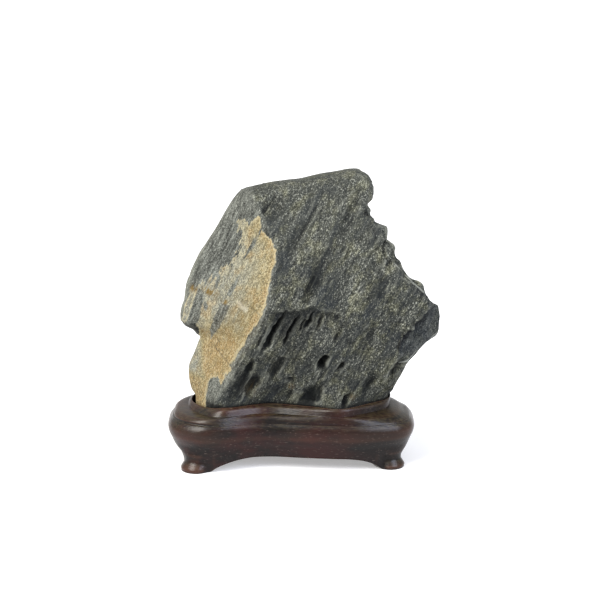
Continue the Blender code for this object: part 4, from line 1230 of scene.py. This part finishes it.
class StageSettings(bpy.types.PropertyGroup):
    """The camera, the light and the floor."""

    aim: bpy.props.FloatVectorProperty(
        name="Aim", description="The point that the camera looks at", default=(-0.0046, 0.0, 0.0836),
        subtype="TRANSLATION", unit="LENGTH")
    distance: bpy.props.FloatProperty(
        name="Distance", description="From the camera to its aim", default=0.8, unit="LENGTH")
    elevation: bpy.props.FloatProperty(
        name="Elevation", description="How far the camera looks down", default=math.radians(14.0),
        subtype="ANGLE", unit="ROTATION")
    lens: bpy.props.FloatProperty(
        name="Lens", description="The camera's focal length, in millimetres", default=1600 * 36 / 590)
    broad_strength: bpy.props.FloatProperty(
        name="Broad light", description="Strength of the broad light from above", default=0.2)
    lamp_strength: bpy.props.FloatProperty(
        name="Lamps", description="Strength of the lamps at the left and the right", default=3.05)
    sky_strength: bpy.props.FloatProperty(
        name="Surround", description="Strength of the even white surround", default=0.63)
    floor_colour: bpy.props.FloatVectorProperty(
        name="Floor", description="The colour of the floor", default=linear("#e4e4e4")[:3],
        subtype="COLOR", min=0.0, max=1.0)
    floor_glow: bpy.props.FloatProperty(
        name="Floor glow", description="How strongly the floor is lit from below", default=0.37, min=0.0)


class SCHOLARSROCK_OT_add_stone(bpy.types.Operator):
    """Add the stone, in place of its plain solid"""

    bl_idname = "scholars_rock.add_stone"
    bl_label = "Add the Stone"

    def execute(self, context):
        settings = context.scene.scholars_rock_stone
        stone = make_rock(settings)
        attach(stone, "root")
        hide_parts("rock")
        return {"FINISHED"}


class SCHOLARSROCK_OT_add_stand(bpy.types.Operator):
    """Add the carved stand, in place of its plain solid"""

    bl_idname = "scholars_rock.add_stand"
    bl_label = "Add the Stand"

    def execute(self, context):
        settings = context.scene.scholars_rock_stand
        stand = make_stand(settings)
        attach(stand, "root")
        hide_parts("stand")
        return {"FINISHED"}


class SCHOLARSROCK_OT_set_stage(bpy.types.Operator):
    """Lay the floor, and set the camera and the light"""

    bl_idname = "scholars_rock.set_stage"
    bl_label = "Set the Stage"

    def execute(self, context):
        settings = context.scene.scholars_rock_stage
        scene = context.scene
        set_camera(scene, settings)
        set_light(scene, settings)
        lay_floor(settings)
        scene.view_settings.view_transform = "Standard"
        return {"FINISHED"}


def set_camera(scene, settings):
    """The camera: it looks along +Y and down."""
    camera = bpy.data.objects.new("camera", bpy.data.cameras.new("camera"))
    back = Vector((0.0, -math.cos(settings.elevation), math.sin(settings.elevation)))
    camera.location = Vector(settings.aim) + settings.distance * back
    camera.rotation_euler = (math.pi / 2 - settings.elevation, 0.0, 0.0)
    camera.data.lens = settings.lens
    camera.data.sensor_width = 36.0
    scene.collection.objects.link(camera)
    scene.camera = camera


RIGHT_LAMP_SHARE = 0.66   # how strong the right lamp is, against the left one


def set_light(scene, settings):
    """A faint broad light from above, a wide lamp at the left, a weaker and cooler one at the right, and
    a white surround.

    Each light is given as (name, strength, colour, width, tilt from straight down, turn), with its
    angles in degrees.
    """
    broad, lamp = settings.broad_strength, settings.lamp_strength
    for name, strength, colour, width, tilt, turn in (
        ("broad light", broad, "#ffffff", 50, 32, -8),
        ("left lamp", lamp, "#fffbf5", 34, 48, -52),
        ("right lamp", RIGHT_LAMP_SHARE * lamp, "#e6ecff", 36, 56, 46),
    ):
        light = bpy.data.objects.new(name, bpy.data.lights.new(name, "SUN"))
        light.data.energy = strength
        light.data.color = linear(colour)[:3]
        light.data.angle = math.radians(width)
        light.rotation_euler = (math.radians(tilt), 0.0, math.radians(turn))
        scene.collection.objects.link(light)
    world = bpy.data.worlds.new("white surround")
    world.use_nodes = True
    world.node_tree.nodes["Background"].inputs["Color"].default_value = (1.0, 1.0, 1.0, 1.0)
    world.node_tree.nodes["Background"].inputs["Strength"].default_value = settings.sky_strength
    scene.world = world


def lay_floor(settings):
    """A round floor, so wide that its edge is far beyond the stand even in a view from low down."""
    turn = 2.0 * math.pi * np.arange(FLOOR_SIDES) / FLOOR_SIDES
    points = FLOOR_RADIUS * np.stack([np.cos(turn), np.sin(turn), 0.0 * turn], axis=1)
    floor = new_piece("floor", points, [list(range(FLOOR_SIDES))], opal_acrylic(settings))


class SCHOLARSROCK_PT_panel(bpy.types.Panel):
    """The settings and the buttons, in the sidebar of the 3D view"""

    bl_idname = "SCHOLARSROCK_PT_panel"
    bl_label = "Scholar's Rock"
    bl_space_type = "VIEW_3D"
    bl_region_type = "UI"
    bl_category = "Scholar's Rock"

    def draw(self, context):
        for settings, operator in zip(SETTINGS, OPERATORS):
            box = self.layout.box()
            group = getattr(context.scene, settings)
            for name in group.__annotations__:
                box.prop(group, name)
            box.operator(operator.bl_idname)


SETTINGS = {
    "scholars_rock_stone": RockSettings,
    "scholars_rock_stand": StandSettings,
    "scholars_rock_stage": StageSettings,
}
OPERATORS = (SCHOLARSROCK_OT_add_stone, SCHOLARSROCK_OT_add_stand, SCHOLARSROCK_OT_set_stage)
CLASSES = (*SETTINGS.values(), *OPERATORS, SCHOLARSROCK_PT_panel)


def register():
    """Adds the add-on's classes, and its settings to the scene."""
    for each in CLASSES:
        bpy.utils.register_class(each)
    for name, group in SETTINGS.items():
        setattr(bpy.types.Scene, name, bpy.props.PointerProperty(type=group))


def unregister():
    """Takes the settings and the classes away again."""
    for name in SETTINGS:
        delattr(bpy.types.Scene, name)
    for each in reversed(CLASSES):
        bpy.utils.unregister_class(each)


def main():
    """Makes the pieces and the stage."""
    register()
    bpy.ops.scholars_rock.add_stone()
    bpy.ops.scholars_rock.add_stand()
    bpy.ops.scholars_rock.set_stage()


if __name__ == "__main__":
    main()
